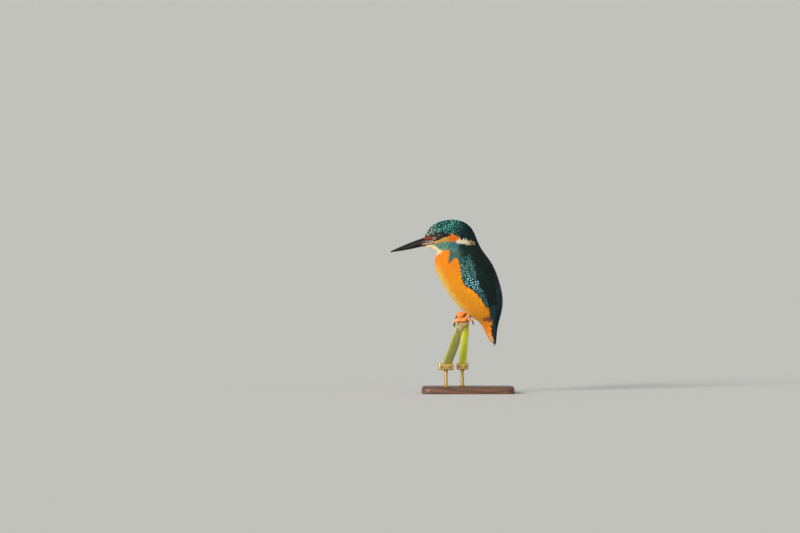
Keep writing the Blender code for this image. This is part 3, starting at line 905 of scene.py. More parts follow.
def remeshed(mesh: Mesh, voxel: float) -> Mesh:
    """One closed even mesh round all parts of a mesh, without loose bits.

    Args:
        mesh: What is wrapped. It is removed.
        voxel: The grain in millimetres.

    Returns:
        The new mesh.
    """
    obj = bpy.data.objects.new("remeshing", mesh)
    bpy.context.scene.collection.objects.link(obj)
    modifier = obj.modifiers.new("even", "REMESH")
    modifier.mode = "VOXEL"
    modifier.voxel_size = voxel * MM
    bpy.context.view_layer.update()
    evaluated = obj.evaluated_get(bpy.context.evaluated_depsgraph_get())
    wrapped = bpy.data.meshes.new_from_object(evaluated)
    bpy.data.objects.remove(obj)
    bpy.data.meshes.remove(mesh)
    keep_largest(wrapped)
    return wrapped


def keep_largest(mesh: Mesh) -> None:
    """Take all but its biggest connected piece out of a mesh.

    Args:
        mesh: The mesh.
    """
    edges = edges_of(mesh)
    label = np.arange(len(mesh.vertices))
    while True:
        lower = label.copy()
        np.minimum.at(lower, edges[:, 0], label[edges[:, 1]])
        np.minimum.at(lower, edges[:, 1], label[edges[:, 0]])
        lower = lower[lower]
        if np.array_equal(lower, label):
            break
        label = lower
    kept = label == np.bincount(label).argmax()
    with edited(mesh) as shaped:
        loose = [vertex for vertex, keep in zip(shaped.verts, kept) if not keep]
        bmesh.ops.delete(shaped, geom=loose, context="VERTS")


def tree_of(mesh: Mesh) -> BVHTree:
    """A mesh's surface, in millimetres, for rays and nearest points."""
    faces = [tuple(face.vertices) for face in mesh.polygons]
    return BVHTree.FromPolygons([tuple(point) for point in points_of(mesh)], faces)


# ---- the lie of the feathers


SEEN_SHARE = 0.75


def on_bill(points: Array, share: Array, gap: float) -> Array:
    """Places drawn towards the sides of the bill.

    Args:
        points: The places.
        share: How far each is drawn.
        gap: How far off the bill a place lies at share 1.

    Returns:
        The moved places.
    """
    surface = tree_of_nodes("bill_upper", "bill_lower")
    moved = points.copy()
    for index in np.flatnonzero(share > 0.01):
        place, normal = surface.find_nearest(Vector(points[index]))[:2]
        seat = np.array(place) + np.array(normal) * gap
        moved[index] += (seat - points[index]) * share[index]
    return moved


class Lay:
    """A grid of places over the plumage. Rows run from head to tail, columns lie side by side."""

    def __init__(self, points: Array, closed: bool, outward: float = 1.0) -> None:
        """Measure the grid.

        Args:
            points: Places, (row, column, 3).
            closed: Whether the last column meets the first.
            outward: -1 where columns run the other way round.
        """
        self.points = points
        self.closed = closed
        self.outward = outward
        along = np.gradient(points, axis=0)
        if closed:
            across = (np.roll(points, -1, 1) - np.roll(points, 1, 1)) / 2.0
        else:
            across = np.gradient(points, axis=1)
        self.stride = np.maximum(lengths_of(along), 0.02)
        self.pitch = np.maximum(lengths_of(across), 0.05)
        self.normals = unit(np.cross(across, along)) * outward

    def read(self, field: Array, row: Array, column: Array) -> Array:
        """Value of a field between grid places, running straight on past the last row.

        Args:
            field: A value for each grid place.
            row: Rows, with fractions.
            column: Columns, with fractions.

        Returns:
            The values.
        """
        count, width = field.shape[:2]
        low = np.clip(np.floor(row).astype(int), 0, count - 2)
        up = np.clip(row - low, 0.0, 30.0)
        if not self.closed:
            column = np.clip(column, 0.0, width - 1.001)
        left = np.floor(column).astype(int)
        over = column - left
        if field.ndim == 3:
            up, over = up[:, None], over[:, None]
        first, second = (
            field[line, left % width] * (1 - over) + field[line, (left + 1) % width] * over
            for line in (low, low + 1)
        )
        return first * (1 - up) + second * up

    def courses(self, row_gap: float, column_gap: float) -> tuple[Array, Array]:
        """Roots in staggered courses, like tiles, evenly spaced on the surface.

        Args:
            row_gap: Millimetres from one course to the next.
            column_gap: Millimetres from one root to the next in a course.

        Returns:
            Rows and columns of the roots.
        """
        count, width = self.points.shape[:2]
        steps = lengths_of(np.diff(self.points, axis=0)) / row_gap
        passed = np.vstack((np.zeros(width), np.cumsum(steps, axis=0)))
        rows, columns = [], []
        for course in range(1, int(passed[-1].max())):
            reach = np.array([np.interp(course, line, np.arange(count)) for line in passed.T])
            live = passed[-1] > course
            line = self.read(self.points, reach, np.arange(width, dtype=float))
            following = np.roll(line, -1, 0) if self.closed else np.vstack((line[1:], line[-1:]))
            sizes = lengths_of(following - line) * (live & np.roll(live, -1)) / column_gap
            sums = np.concatenate(([0.0], np.cumsum(sizes)))
            number = int(round(sums[-1]))
            if number < 2:
                continue
            marks = (np.arange(number) + 0.25 + 0.5 * (course % 2)) * sums[-1] / number
            column = np.interp(marks, sums, np.arange(width + 1))
            across = np.append(reach, reach[0] if self.closed else reach[-1])
            rows.append(np.interp(column, np.arange(width + 1), across))
            columns.append(column)
        return np.concatenate(rows), np.concatenate(columns)

    def trail(
        self, row: Array, column: Array, sizes: Array, turn: Array, stops: Array
    ) -> tuple[Array, Array]:
        """Places along feathers that lie on the grid.

        Args:
            row: Rows of the roots.
            column: Their columns.
            sizes: The feathers' lengths.
            turn: How far each turns towards higher columns, in radians.
            stops: Shares of the length where places are wanted, from 0 to 1.

        Returns:
            Rows and columns, (feather, stop).
        """
        rows, columns = [row], [column]
        for share in np.diff(stops):
            step = sizes * share
            row = row + step * np.cos(turn) / self.read(self.stride, row, column)
            column = column + step * np.sin(turn) / self.read(self.pitch, row, column)
            rows.append(row)
            columns.append(column)
        return np.stack(rows, 1), np.stack(columns, 1)

    def ahead(self, row: Array, column: Array, size: float) -> tuple[Array, Array]:
        """Rows and columns of places straight behind others, at a distance in millimetres."""
        rows, columns = self.trail(row, column, np.full(len(row), size), np.zeros(len(row)), np.arange(2.0))
        return rows[:, 1], columns[:, 1]


@dataclass(frozen=True)
class Vane:
    """Build of one kind of feather."""

    length: float
    width: float
    stops: tuple[float, ...] = (0.0, 0.3, 0.6, 0.85, 1.0)
    outline: tuple[float, ...] = (0.55, 0.95, 1.0, 0.72, 0.16)
    webs: tuple[float, ...] = (-1.0, 0.0, 1.0)
    ribs: tuple[float, ...] = (0.0, 0.30, 0.0)
    root_depth: float = 0.75
    tip_lift: float = 0.05
    turn: float = 0.14
    lift: float = 0.06
    ragged: float = 0.10
    roll: float = 0.10
    rise: float = 1.5


UNWRAP_MARGIN = 0.02
TUFT_PATCH = 0.003
LENGTH_VARIETY = 0.08


@dataclass
class Plume:
    """Feathers of one kind on one surface, which become one piece."""

    name: str
    slot: str
    finish: Material
    build: Vane
    lay: Lay
    dice: Dice
    kept: dict[str, list[Array]] = field(default_factory=lambda: defaultdict(list))
    held: int = 0

    def add(self, row: Array, column: Array, tones: Tones, raise_by: float = 0.0) -> None:
        """Lay feathers straight along the grid but for small turns.

        Args:
            row: Rows of their roots.
            column: Columns of their roots.
            tones: Their colours.
            raise_by: How far each lies above its usual height.
        """
        scale = np.exp(self.dice.normal(0.0, LENGTH_VARIETY, len(row)))
        heading = self.dice.normal(0.0, self.build.turn, len(row))
        sizes = self.build.length * scale
        rows, columns = self.lay.trail(row, column, sizes, heading, np.array(self.build.stops))
        self.lay_out(rows, columns, tones, scale, raise_by)

    def lay_out(
        self, rows: Array, columns: Array, tones: Tones, scale: Array | float, raise_by: Array | float
    ) -> None:
        """Lay feathers on known paths.

        Args:
            rows: Rows of their stops, (feather, stop).
            columns: Columns of their stops.
            tones: Their colours.
            scale: A factor on each one's width.
            raise_by: How far each lies above its usual height.
        """
        build, lay, dice = self.build, self.lay, self.dice
        count, stops = len(rows), np.array(build.stops)
        flat_rows, flat_columns = rows.ravel(), columns.ravel()
        centre = lay.read(lay.points, flat_rows, flat_columns).reshape(count, len(stops), 3)
        normal = unit(lay.read(lay.normals, flat_rows, flat_columns)).reshape(centre.shape)
        lifted = np.abs(dice.normal(0.0, build.lift, count)) + raise_by
        height = -build.root_depth * (1.0 - stops) + build.tip_lift * stops**2
        centre = centre + normal * (height + lifted[:, None] * stops[None] ** build.rise)[..., None]
        forward = unit(np.gradient(centre, stops, axis=1))
        side = unit(np.cross(normal, forward))
        roll = dice.normal(0.0, build.roll, (count, 1, 1))
        side, normal = unit(side + normal * roll), unit(normal - side * roll)
        outline = np.array(build.outline)[None] * np.exp(dice.normal(0.0, build.ragged, (count, len(stops))))
        half = build.width / 2.0 * np.reshape(scale, (-1, 1)) * outline
        hand = -lay.outward
        across, crest = np.array(build.webs), np.array(build.ribs)
        if hand < 0.0:
            across, crest = -across[::-1], crest[::-1]
        places = (
            centre[:, :, None]
            + side[:, :, None] * (half[..., None] * across)[..., None]
            + normal[:, :, None] * (half[..., None] * crest)[..., None]
        )
        vane = np.empty(places.shape)
        vane[..., 0] = across * hand
        vane[..., 1] = stops[:, None]
        vane[..., 2] = dice.random(count)[:, None, None]
        length, width = lay.points.shape[:2]
        root = np.column_stack((columns[:, 0] % width / width, rows[:, 0] / length))
        patch = np.stack(np.broadcast_arrays(across * TUFT_PATCH / 2, stops[:, None] * TUFT_PATCH), -1)
        self._keep(places, vane, tones, root, patch)

    def _keep(self, places: Array, vane: Array, tones: Tones, root: Array, patch: Array) -> None:
        """Store the vertices, faces, colours and unwrap of feathers.

        Args:
            places: Their vertices, (feather, stop, web, 3).
            vane: What their shader is told of each vertex.
            tones: Their colours.
            root: Where each is rooted on the unwrap.
            patch: How the vertices of one lie about its root there.
        """
        count, steps, webs = places.shape[:3]
        each = steps * webs
        corners, sizes, under = feather_faces(steps, webs)
        shift = self.held + each * np.arange(count)
        seat = (root[:, None, None] + patch).reshape(-1, 2)
        for key, rows in {
            "places": places.reshape(-1, 3),
            "vane": vane.reshape(-1, 3),
            "ground": np.repeat(np.column_stack((tones.ground, tones.form)), each, axis=0),
            "mark": np.repeat(np.column_stack((tones.mark, tones.strength)), each, axis=0),
            "root": np.repeat(root, each, axis=0),
            "seat": seat,
            "corners": (corners[None] + shift[:, None]).ravel(),
            "sizes": np.tile(sizes, count),
            "under": np.tile(under, count),
        }.items():
            self.kept[key].append(rows)
        self.held += each * count

    def finish_piece(self) -> None:
        """Make the piece of all feathers."""
        whole = {key: np.concatenate(rows) for key, rows in self.kept.items()}
        starts = np.concatenate(([0], np.cumsum(whole["sizes"])[:-1]))
        mesh = raw_mesh(self.name, whole["places"], whole["corners"], starts)
        for key in ("ground", "mark", "vane"):
            store(mesh, key, whole[key])
        flat = mesh.attributes.new("sharp_face", "BOOLEAN", "FACE")
        flat.data.foreach_set("value", whole["under"])
        root = whole["root"]
        low, high = root.min(0), root.max(0)
        spread = (root - low) * (1.0 - 2.0 * UNWRAP_MARGIN) / (high - low)
        unwrap = UNWRAP_MARGIN + spread + (whole["seat"] - root)
        layer = mesh.uv_layers.new(name="OFBake")
        layer.uv.foreach_set("vector", unwrap[whole["corners"]].astype(np.float32).ravel())
        show(self.name, mesh, self.finish, self.slot)


def feather_faces(steps: int, webs: int) -> tuple[Array, Array, Array]:
    """Faces of one closed feather, whose vertices come web by web and step by step.

    Args:
        steps: How many places it has along it.
        webs: How many it has across.

    Returns:
        Face corners, face sizes, and whether each face is on the underside or an end.
    """
    faces, under = [], []
    for step in range(steps - 1):
        near, far = step * webs, (step + 1) * webs
        faces += [(near + web, far + web, far + web + 1, near + web + 1) for web in range(webs - 1)]
        faces.append((near + webs - 1, far + webs - 1, far, near))
        under += [False] * (webs - 1) + [True]
    last = (steps - 1) * webs
    faces += [tuple(range(webs)), tuple(last + web for web in reversed(range(webs)))]
    corners = np.array([corner for face in faces for corner in face])
    return corners, np.array([len(face) for face in faces]), np.array(under + [True, True])


# ---- skin


@dataclass
class Socket:
    """Where one eye sits in the head."""

    side: str
    centre: Array
    axis: Array
    radius: float
    sunk: float = 3.5

    @property
    def place(self) -> Array:
        """The middle of the eye in the surface of the face."""
        return self.centre + self.axis * self.sunk


def chin_share(points: Array, at: Array) -> Array:
    """How near places on the head, which lie at offsets from the eye, are to the front corner of the chin."""
    front = points[:, 0] - points[:, 0].min()
    return ramp(2.6, 0.4, front) * ramp(-4.5, -7.0, at[:, 1])


@dataclass
class Skin:
    """One skin under all feathers, with lids round the eyes."""

    voxel: float = 0.8
    swell: float = 0.24
    depth: float = 0.8
    thin_share: float = 0.28
    opening: float = math.radians(35.0)
    corner: float = math.radians(4.5)
    gape_depth: float = 0.12
    tuck: float = 0.10
    tuck_back: float = 0.5
    tuck_reach: float = 1.6
    seat_reach: float = 4.5
    seat_gap: float = 0.04
    lid_proud: float = 0.22
    lid_reach: float = math.radians(24.0)

    def envelope(self, *more: str) -> Mesh:
        """The outer surface of the plumage, closed over the eyes and over the cuts between CAD nodes.

        Args:
            more: Further nodes that it closes over.

        Returns:
            The mesh.
        """
        mesh = remeshed(joined_nodes((*FLESH, "eye_left", "eye_right", *more), self.swell), self.voxel)
        edges, points = edges_of(mesh), points_of(mesh)
        for _ in range(5):
            points = relaxed(relaxed(points, edges, 1, 0.5), edges, 1, -0.52)
        move_points(mesh, points)
        move_points(mesh, points - normals_of(mesh) * self.swell)
        return mesh

    @staticmethod
    def sockets(mesh: Mesh) -> list[Socket]:
        """Where the eyes sit.

        Args:
            mesh: The outer surface of the head.

        Returns:
            The left and the right socket.
        """
        points, normals = points_of(mesh), normals_of(mesh)
        made = []
        for side in SIDES:
            low, high = box_of("eye_" + side)
            centre, radius = (low + high) / 2.0, (high - low)[2] / 2.0
            away = lengths_of(points - centre)
            ring = (away > radius + 0.8) & (away < radius + 4.0) & (points[:, 1] * centre[1] > 0.0)
            made.append(Socket(side, centre, unit(normals[ring].mean(0)), radius))
        return made

    def build(self, mesh: Mesh, sockets: Sequence[Socket], markings: Markings) -> None:
        """Shrink the envelope to the skin, raise the lids and colour it.

        Args:
            mesh: The envelope. It becomes the skin.
            sockets: The eyes' places.
            markings: The colours.
        """
        surface = tree_of(mesh)
        points, normals = points_of(mesh), normals_of(mesh)
        thickness = np.full(len(points), FAR_SIDE)
        for index, (point, normal) in enumerate(zip(points, normals)):
            hit = surface.ray_cast(Vector(point - normal * 0.05), Vector(-normal))
            if hit[0] is not None:
                thickness[index] = hit[3]
        gape = GAPE_AREA.share(markings.offsets(points))
        depth = np.minimum(self.depth, self.thin_share * thickness) * (1.0 - gape) + self.gape_depth * gape
        depth = relaxed(depth[:, None], edges_of(mesh), 4)
        move_points(mesh, self._seated(self._tucked(points - normals * depth), markings))
        self._refine(mesh, GAPE_AREA.share(markings.offsets(points_of(mesh))) > 0.02)
        for socket in sockets:
            away = lengths_of(points_of(mesh) - socket.centre)
            self._refine(mesh, away < socket.radius + 1.2)
        points = points_of(mesh)
        bare = GAPE_AREA.share(markings.offsets(points))
        lids = np.zeros(len(points))
        for socket in sockets:
            points, lid = self._raise_lid(points, socket)
            lids = np.maximum(lids, lid)
        move_points(mesh, points)
        tones = markings.body(points, normals_of(mesh))
        tones.paint(LID, lids)
        store(mesh, "ground", np.column_stack((tones.ground, np.maximum(bare, lids))))
        show("skin", mesh, SkinFinish().build(), "breast_feathers", *FLESH)

    def _tucked(self, points: Array) -> Array:
        """Draw the face's foremost skin back and in towards the bill.

        Args:
            points: The skin's vertices.

        Returns:
            The moved vertices.
        """
        foremost = points[:, 0].min()
        share = ramp(foremost + self.tuck_reach, foremost, points[:, 0])
        inward = np.array((0.0, 0.0, box_of("bill_upper")[1][2] - 4.0)) - points
        inward[:, 0] = 0.0
        points = points + inward * (share * self.tuck)[:, None]
        points[:, 0] += share * self.tuck_back
        return points

    def _seated(self, points: Array, markings: Markings) -> Array:
        """Draw the bare skin of the gape and the chin on to the bill, so that the two meet.

        Args:
            points: The skin's vertices.
            markings: Where the gape is.

        Returns:
            The moved vertices.
        """
        at = markings.offsets(points)
        front = points[:, 0] - points[:, 0].min()
        share = GAPE_AREA.share(at) * ramp(self.seat_reach, 0.3, front)
        return on_bill(points, np.maximum(share, chin_share(points, at)), self.seat_gap)

    @staticmethod
    def _refine(mesh: Mesh, chosen: Array) -> None:
        """Cut the skin finer.

        Args:
            mesh: The skin.
            chosen: Between which vertices.
        """
        with edited(mesh) as shaped:
            edges = [e for e in shaped.edges if chosen[e.verts[0].index] and chosen[e.verts[1].index]]
            bmesh.ops.subdivide_edges(shaped, edges=edges, cuts=3, use_grid_fill=True, smooth=0.0)
            bmesh.ops.triangulate(shaped, faces=[f for f in shaped.faces if len(f.verts) > 4])

    def _raise_lid(self, points: Array, socket: Socket) -> tuple[Array, Array]:
        """Draw the skin over the eyeball, open over its middle.

        Args:
            points: The skin's vertices.
            socket: The eye.

        Returns:
            The moved vertices, and how bare each is.
        """
        offset = points - socket.centre
        reach = lengths_of(offset)
        heading = offset / np.maximum(reach, 1e-6)[:, None]
        facing = heading @ socket.axis
        angle = np.arccos(np.clip(facing, -1.0, 1.0))
        level = np.abs(unit(heading - facing[:, None] * socket.axis)[:, 0])
        beyond = angle - (self.opening + self.corner * level**6 - math.radians(1.5) * (1.0 - level**2))
        knots = np.radians((-9.0, -1.2, 0.6, 4.5, 11.0, 17.0))
        rise = np.interp(beyond, knots, (-0.9, -0.05, 0.2, self.lid_proud, 0.22, 0.12))
        free = ramp(math.radians(13.0), self.lid_reach, beyond)
        target = (socket.radius + rise) * (1.0 - free) + reach * free
        fold = 0.05 * np.sin(beyond / math.radians(4.2) * math.tau) * ramp(0.0, 0.05, beyond)
        moved = socket.centre + heading * (target + fold * (1.0 - free))[:, None]
        near = (angle < math.radians(80.0)) & (reach < socket.radius + 2.0)
        bare = ramp(math.radians(20.0), math.radians(12.0), beyond)
        return np.where(near[:, None], moved, points), np.where(near, bare, 0.0)


# ---- feathers of head, trunk and tail


# Slices through the body: their middles counted from the eye, and how far their planes lean, in degrees.
GIRDLES = {
    "bill_base": (-14.9, -5.3, 90.0),
    "lores": (-12.7, -3.3, 90.0),
    "forehead": (-7.6, -0.6, 82.0),
    "eye": (-1.4, 0.7, 70.5),
    "ear": (5.0, 0.4, 57.0),
    "hind_crown": (10.8, -2.3, 44.0),
    "nape": (13.6, -7.3, 33.0),
    "neck": (14.8, -13.6, 24.5),
    "shoulder": (17.0, -20.8, 17.0),
    "breast": (21.1, -28.5, 11.5),
    "back": (25.7, -37.2, 8.0),
    "belly": (31.0, -49.0, 6.5),
    "flank": (36.2, -60.9, 5.0),
    "thigh": (40.9, -71.7, 4.5),
    "vent": (45.3, -79.9, 2.5),
    "undertail": (47.3, -87.3, 0.0),
    "tail": (48.9, -96.2, 4.0),
    "tail_tip": (51.1, -103.9, 10.0),
}


class Region(IntEnum):
    """Tracts of small feathers."""

    BARE = 0
    FACE = 1
    CROWN = 2
    CHEEK = 3
    BREAST = 4
    BELLY = 5
    UNDERTAIL = 6
    MANTLE = 7
    RUMP = 8
    LESSER = 9
    GREATER = 10
    SCAPULAR = 11


@dataclass(frozen=True)
class Tract:
    """How one tract is feathered."""

    region: Region
    piece: str
    slot: str
    finish: FeatherFinish
    vane: Vane
    row_gap: float
    column_gap: float
    variety: float = 0.08


SOFT = partial(Vane, ribs=(0.0, 0.20, 0.0))
BROAD = partial(
    Vane,
    stops=(0.0, 0.35, 0.65, 0.82, 0.94, 1.0),
    outline=(0.6, 0.95, 1.0, 0.88, 0.60, 0.18),
    webs=(-1.0, -0.5, 0.0, 0.5, 1.0),
    ribs=(0.0, 0.15, 0.22, 0.15, 0.0),
)
TRACTS = (
    Tract(
        Region.FACE, "face_feathers", "crown_feathers", SOFT_FEATHERS,
        SOFT(1.6, 0.44, root_depth=0.5, tip_lift=0.02, lift=0.03), 0.42, 0.30, 0.10,
    ),
    Tract(
        Region.CROWN, "crown_feathers", "crown_feathers", GLOSSY_FEATHERS,
        BROAD(4.8, 2.1, turn=0.12), 1.9, 1.5,
    ),
    Tract(
        Region.CHEEK, "cheek_feathers", "crown_feathers", SOFT_FEATHERS,
        SOFT(3.0, 0.58, tip_lift=0.03, turn=0.10, ragged=0.14), 0.62, 0.40, 0.14,
    ),
    Tract(
        Region.BREAST, "breast_feathers", "breast_feathers", SOFT_FEATHERS,
        SOFT(4.8, 0.66, tip_lift=0.03, turn=0.08, ragged=0.16), 0.82, 0.40, 0.06,
    ),
    Tract(
        Region.BELLY, "belly_feathers", "breast_feathers", SOFT_FEATHERS,
        SOFT(6.0, 0.74, tip_lift=0.03, turn=0.08, ragged=0.16), 0.96, 0.44, 0.06,
    ),
    Tract(
        Region.UNDERTAIL, "undertail_coverts", "tail_feathers", SOFT_FEATHERS,
        SOFT(7.0, 0.95, tip_lift=0.0, turn=0.04, root_depth=0.5, ragged=0.14), 1.1, 0.5, 0.06,
    ),
    Tract(
        Region.MANTLE, "mantle_feathers", "wing_feathers", GLOSSY_FEATHERS,
        BROAD(4.8, 2.3, turn=0.10), 1.5, 1.4,
    ),
    Tract(
        Region.RUMP, "rump_feathers", "tail_feathers", GLOSSY_FEATHERS, BROAD(6.4, 2.2, turn=0.07), 1.5, 1.25
    ),
)


@dataclass
class Plumage:
    """The feathers of the head, trunk and tail, laid from the bill to the tail tip."""

    surface: BVHTree
    wings: BVHTree
    sockets: Sequence[Socket]
    markings: Markings
    rows: int = 270
    columns: int = 144
    clear_of_eye: float = 3.05
    wing_reach: float = 0.45
    wing_edge: float = 0.72
    chin_gap: float = 0.1
    tail_cover: float = -94.5
    undertail_end: float = -99.6
    scatter: float = 0.16
    colour_scatter: float = 0.07
    bare_share: float = 0.4

    def __post_init__(self) -> None:
        """Cast the grid on the surface."""
        grid = self._cast()
        points = grid.reshape(-1, 3)
        share = chin_share(points, self.markings.offsets(points))
        self.lay = Lay(on_bill(points, share, self.chin_gap).reshape(grid.shape), closed=True)

    def _cast(self) -> Array:
        """Find the grid by rays from the middle of each slice.

        Returns:
            Its places, (row, column, 3).
        """
        middles = np.array(list(GIRDLES.values())) * (1.0, 1.0, math.radians(1.0))
        middles[:, :2] += self.markings.eye[[0, 2]]
        passed = passed_along(middles[:, :2])
        at = np.linspace(0.0, passed[-1], self.rows)
        sliced = np.stack([np.interp(at, passed, middles[:, i]) for i in range(3)], 1)
        sliced = smoothed(sliced, np.hanning(15)[1:-1], mode="reflect", reflect_type="odd")
        angles = np.arange(self.columns) / self.columns * math.tau
        reach = np.full((self.rows, self.columns), np.nan)
        headings = np.empty((self.rows, self.columns, 3))
        leftward = np.sin(angles)[:, None] * np.array((0.0, -1.0, 0.0))
        for row, (x, z, lean) in enumerate(sliced):
            back = np.array((math.cos(lean), 0.0, math.sin(lean)))
            headings[row] = np.cos(angles)[:, None] * back + leftward
            for column in range(self.columns):
                hit = self.surface.ray_cast(Vector((x, 0.0, z)), Vector(headings[row, column]))
                if hit[0] is not None:
                    reach[row, column] = hit[3]
        reach = np.stack([filled(column) for column in reach.T], 1)
        for _ in range(2):
            reach = (np.roll(reach, 1, 1) + 2 * reach + np.roll(reach, -1, 1)) / 4
            reach[1:-1] = (reach[:-2] + 2 * reach[1:-1] + reach[2:]) / 4
        middles = np.column_stack((sliced[:, 0], np.zeros(self.rows), sliced[:, 1]))
        return middles[:, None] + headings * reach[..., None]

    def regions(self, points: Array, normals: Array, dice: Dice) -> Array:
        """Which tract each place belongs to. Tracts of the underside run into one another at random.

        Args:
            points: The places.
            normals: Their outward directions.
            dice: Random draws.

        Returns:
            Region numbers.
        """
        at = self.markings.offsets(points)
        x, z = at.T
        mantle, ear, patch, throat, crown, face = (
            area.share(at) > 0.5
            for area in (MANTLE_PATCH, EAR_PATCH, NECK_PATCH_AREA, THROAT_PATCH, CROWN_PATCH, FACE_AREA)
        )
        mixed = z + dice.normal(0.0, 2.4, len(z))
        azure = mantle & (np.abs(points[:, 1]) < 6.5) & (normals[:, 0] > 0.2) & (z < -16.0)
        found = np.full(len(points), Region.BREAST)
        for region, chosen in (
            (Region.BELLY, mixed < -45.0),
            (Region.UNDERTAIL, mixed < -77.5),
            (Region.BARE, z < self.undertail_end),
            (Region.MANTLE, mantle),
            (Region.RUMP, azure | (mantle & (z < -72.0))),
            (Region.BARE, mantle & (z < self.tail_cover)),
            (Region.CHEEK, ear | patch | throat | (mantle & (x < 21.0) & (z > -27.0))),
            (Region.CROWN, crown & ~(ear | patch)),
            (Region.FACE, face),
            (Region.BARE, GAPE_AREA.share(at) > 0.4),
        ):
            found[chosen] = region
        return found

    def _surface_at(self, row: Array, column: Array) -> tuple[Array, Array]:
        """Places on the grid and their outward directions."""
        return self.lay.read(self.lay.points, row, column), unit(self.lay.read(self.lay.normals, row, column))

    def _clear(self, tract: Tract, row: Array, column: Array, points: Array, normals: Array) -> Array:
        """Which roots keep their feathers off the eyes and the sides of the wings.

        Args:
            tract: How the feathers are.
            row: Rows of their roots.
            column: Columns of their roots.
            points: Places of their roots.
            normals: Outward directions there.

        Returns:
            Whether each may stay.
        """
        kept = np.ones(len(points), bool)
        tips = self._surface_at(*self.lay.ahead(row, column, tract.vane.length))[0]
        for socket in self.sockets:
            line = socket.centre + socket.axis * socket.radius
            for places in (points, (points + tips) / 2.0, tips):
                kept &= lengths_of(places - line) > self.clear_of_eye
        for index in np.flatnonzero(kept & (np.abs(normals[:, 1]) > self.wing_edge)):
            kept[index] = self.wings.find_nearest(Vector(points[index]), self.wing_reach)[0] is None
        return kept

    def build(self, dice: Dice) -> None:
        """Feather every tract.

        Args:
            dice: Random draws.
        """
        finishes = {finish: finish.build() for finish in (SOFT_FEATHERS, GLOSSY_FEATHERS)}
        for tract in TRACTS:
            row, column = self.lay.courses(tract.row_gap, tract.column_gap)
            shift = dice.normal(0.0, self.scatter, len(row)) * tract.row_gap
            row = row + shift / self.lay.read(self.lay.stride, row, column)
            points, normals = self._surface_at(row, column)
            seen, facing = self._surface_at(*self.lay.ahead(row, column, SEEN_SHARE * tract.vane.length))
            seen = seen + dice.normal(0.0, self.colour_scatter * tract.vane.length, seen.shape)
            chosen = self.regions(seen, facing, dice) == tract.region
            chosen &= GAPE_AREA.share(self.markings.offsets(points)) < self.bare_share
            kept = np.flatnonzero(chosen)
            kept = kept[self._clear(tract, row[kept], column[kept], points[kept], normals[kept])]
            tones = self.markings.body(seen[kept], facing[kept])
            tones.vary(dice, tract.variety)
            plume = Plume(tract.piece, tract.slot, finishes[tract.finish], tract.vane, self.lay, dice)
            plume.add(row[kept], column[kept], tones)
            plume.finish_piece()


# ---- wings and tail quills


QUILL = Vane(
    1.0, 1.0,
    (0.0, 0.08, 0.16, 0.25, 0.34, 0.43, 0.52, 0.61, 0.70, 0.78, 0.85, 0.91, 0.955, 0.985, 1.0),
    (0.35, 0.6, 0.8, 0.92, 1.0, 1.0, 1.0, 1.0, 1.0, 0.99, 0.95, 0.86, 0.70, 0.46, 0.16),
    webs=(-0.5, -0.25, 0.0, 0.5, 1.0), ribs=(-0.03, 0.04, 0.10, 0.05, -0.03),
    root_depth=0.4, tip_lift=0.0, lift=0.0, ragged=0.015, roll=0.02,
)
@dataclass(frozen=True)
class Fan:
    """Flight feathers side by side. The first and last are given in shares along and across a wing."""

    count: int
    width: float
    roots: tuple[Pair, Pair]
    tips: tuple[Pair, Pair]
    heights: Pair
    bow: float = 0.0
    variety: float = 0.10

    def add_to(self, plume: Plume, tone: Tone) -> None:
        """Add the fan to a piece.

        Args:
            plume: The piece.
            tone: The feathers' colours.
        """
        along = np.array(QUILL.stops)[:, None]
        roots, tips = (np.linspace(*ends, self.count)[:, None] for ends in (self.roots, self.tips))
        path = roots * (1.0 - along) + tips * along
        path[..., 1] += self.bow * np.sin(math.pi * along[:, 0])
        path *= np.array(plume.lay.points.shape[:2]) - 1
        tones = Tones.of(tone, self.count)
        tones.vary(plume.dice, self.variety)
        plume.lay_out(path[..., 0], path[..., 1], tones, self.width, np.linspace(*self.heights, self.count))


WING_FANS = (
    Fan(9, 3.6, ((0.46, 0.10), (0.46, 0.46)), ((0.985, 0.30), (0.86, 0.56)), (0.02, 0.22)),
    Fan(9, 4.0, ((0.34, 0.34), (0.30, 0.80)), ((0.875, 0.44), (0.70, 0.90)), (0.26, 0.50), 0.02),
    Fan(3, 4.4, ((0.26, 0.74), (0.22, 0.90)), ((0.72, 0.76), (0.60, 0.92)), (0.56, 0.66), 0.02),
)

COVERT = partial(BROAD, ribs=(-0.05, 0.04, 0.09, 0.04, -0.05), tip_lift=0.06, rise=0.6)

WING_TRACTS = (
    Tract(
        Region.GREATER, "greater_coverts", "wing_feathers", GLOSSY_FEATHERS,
        COVERT(5.8, 3.1, turn=0.07), 2.5, 2.2,
    ),
    Tract(
        Region.LESSER, "lesser_coverts", "wing_feathers", GLOSSY_FEATHERS,
        COVERT(3.6, 2.5, turn=0.09, tip_lift=0.08), 1.9, 1.8,
    ),
    Tract(
        Region.SCAPULAR, "scapulars", "wing_feathers", GLOSSY_FEATHERS,
        COVERT(8.6, 3.2, turn=0.07), 2.4, 2.1, 0.14,
    ),
)


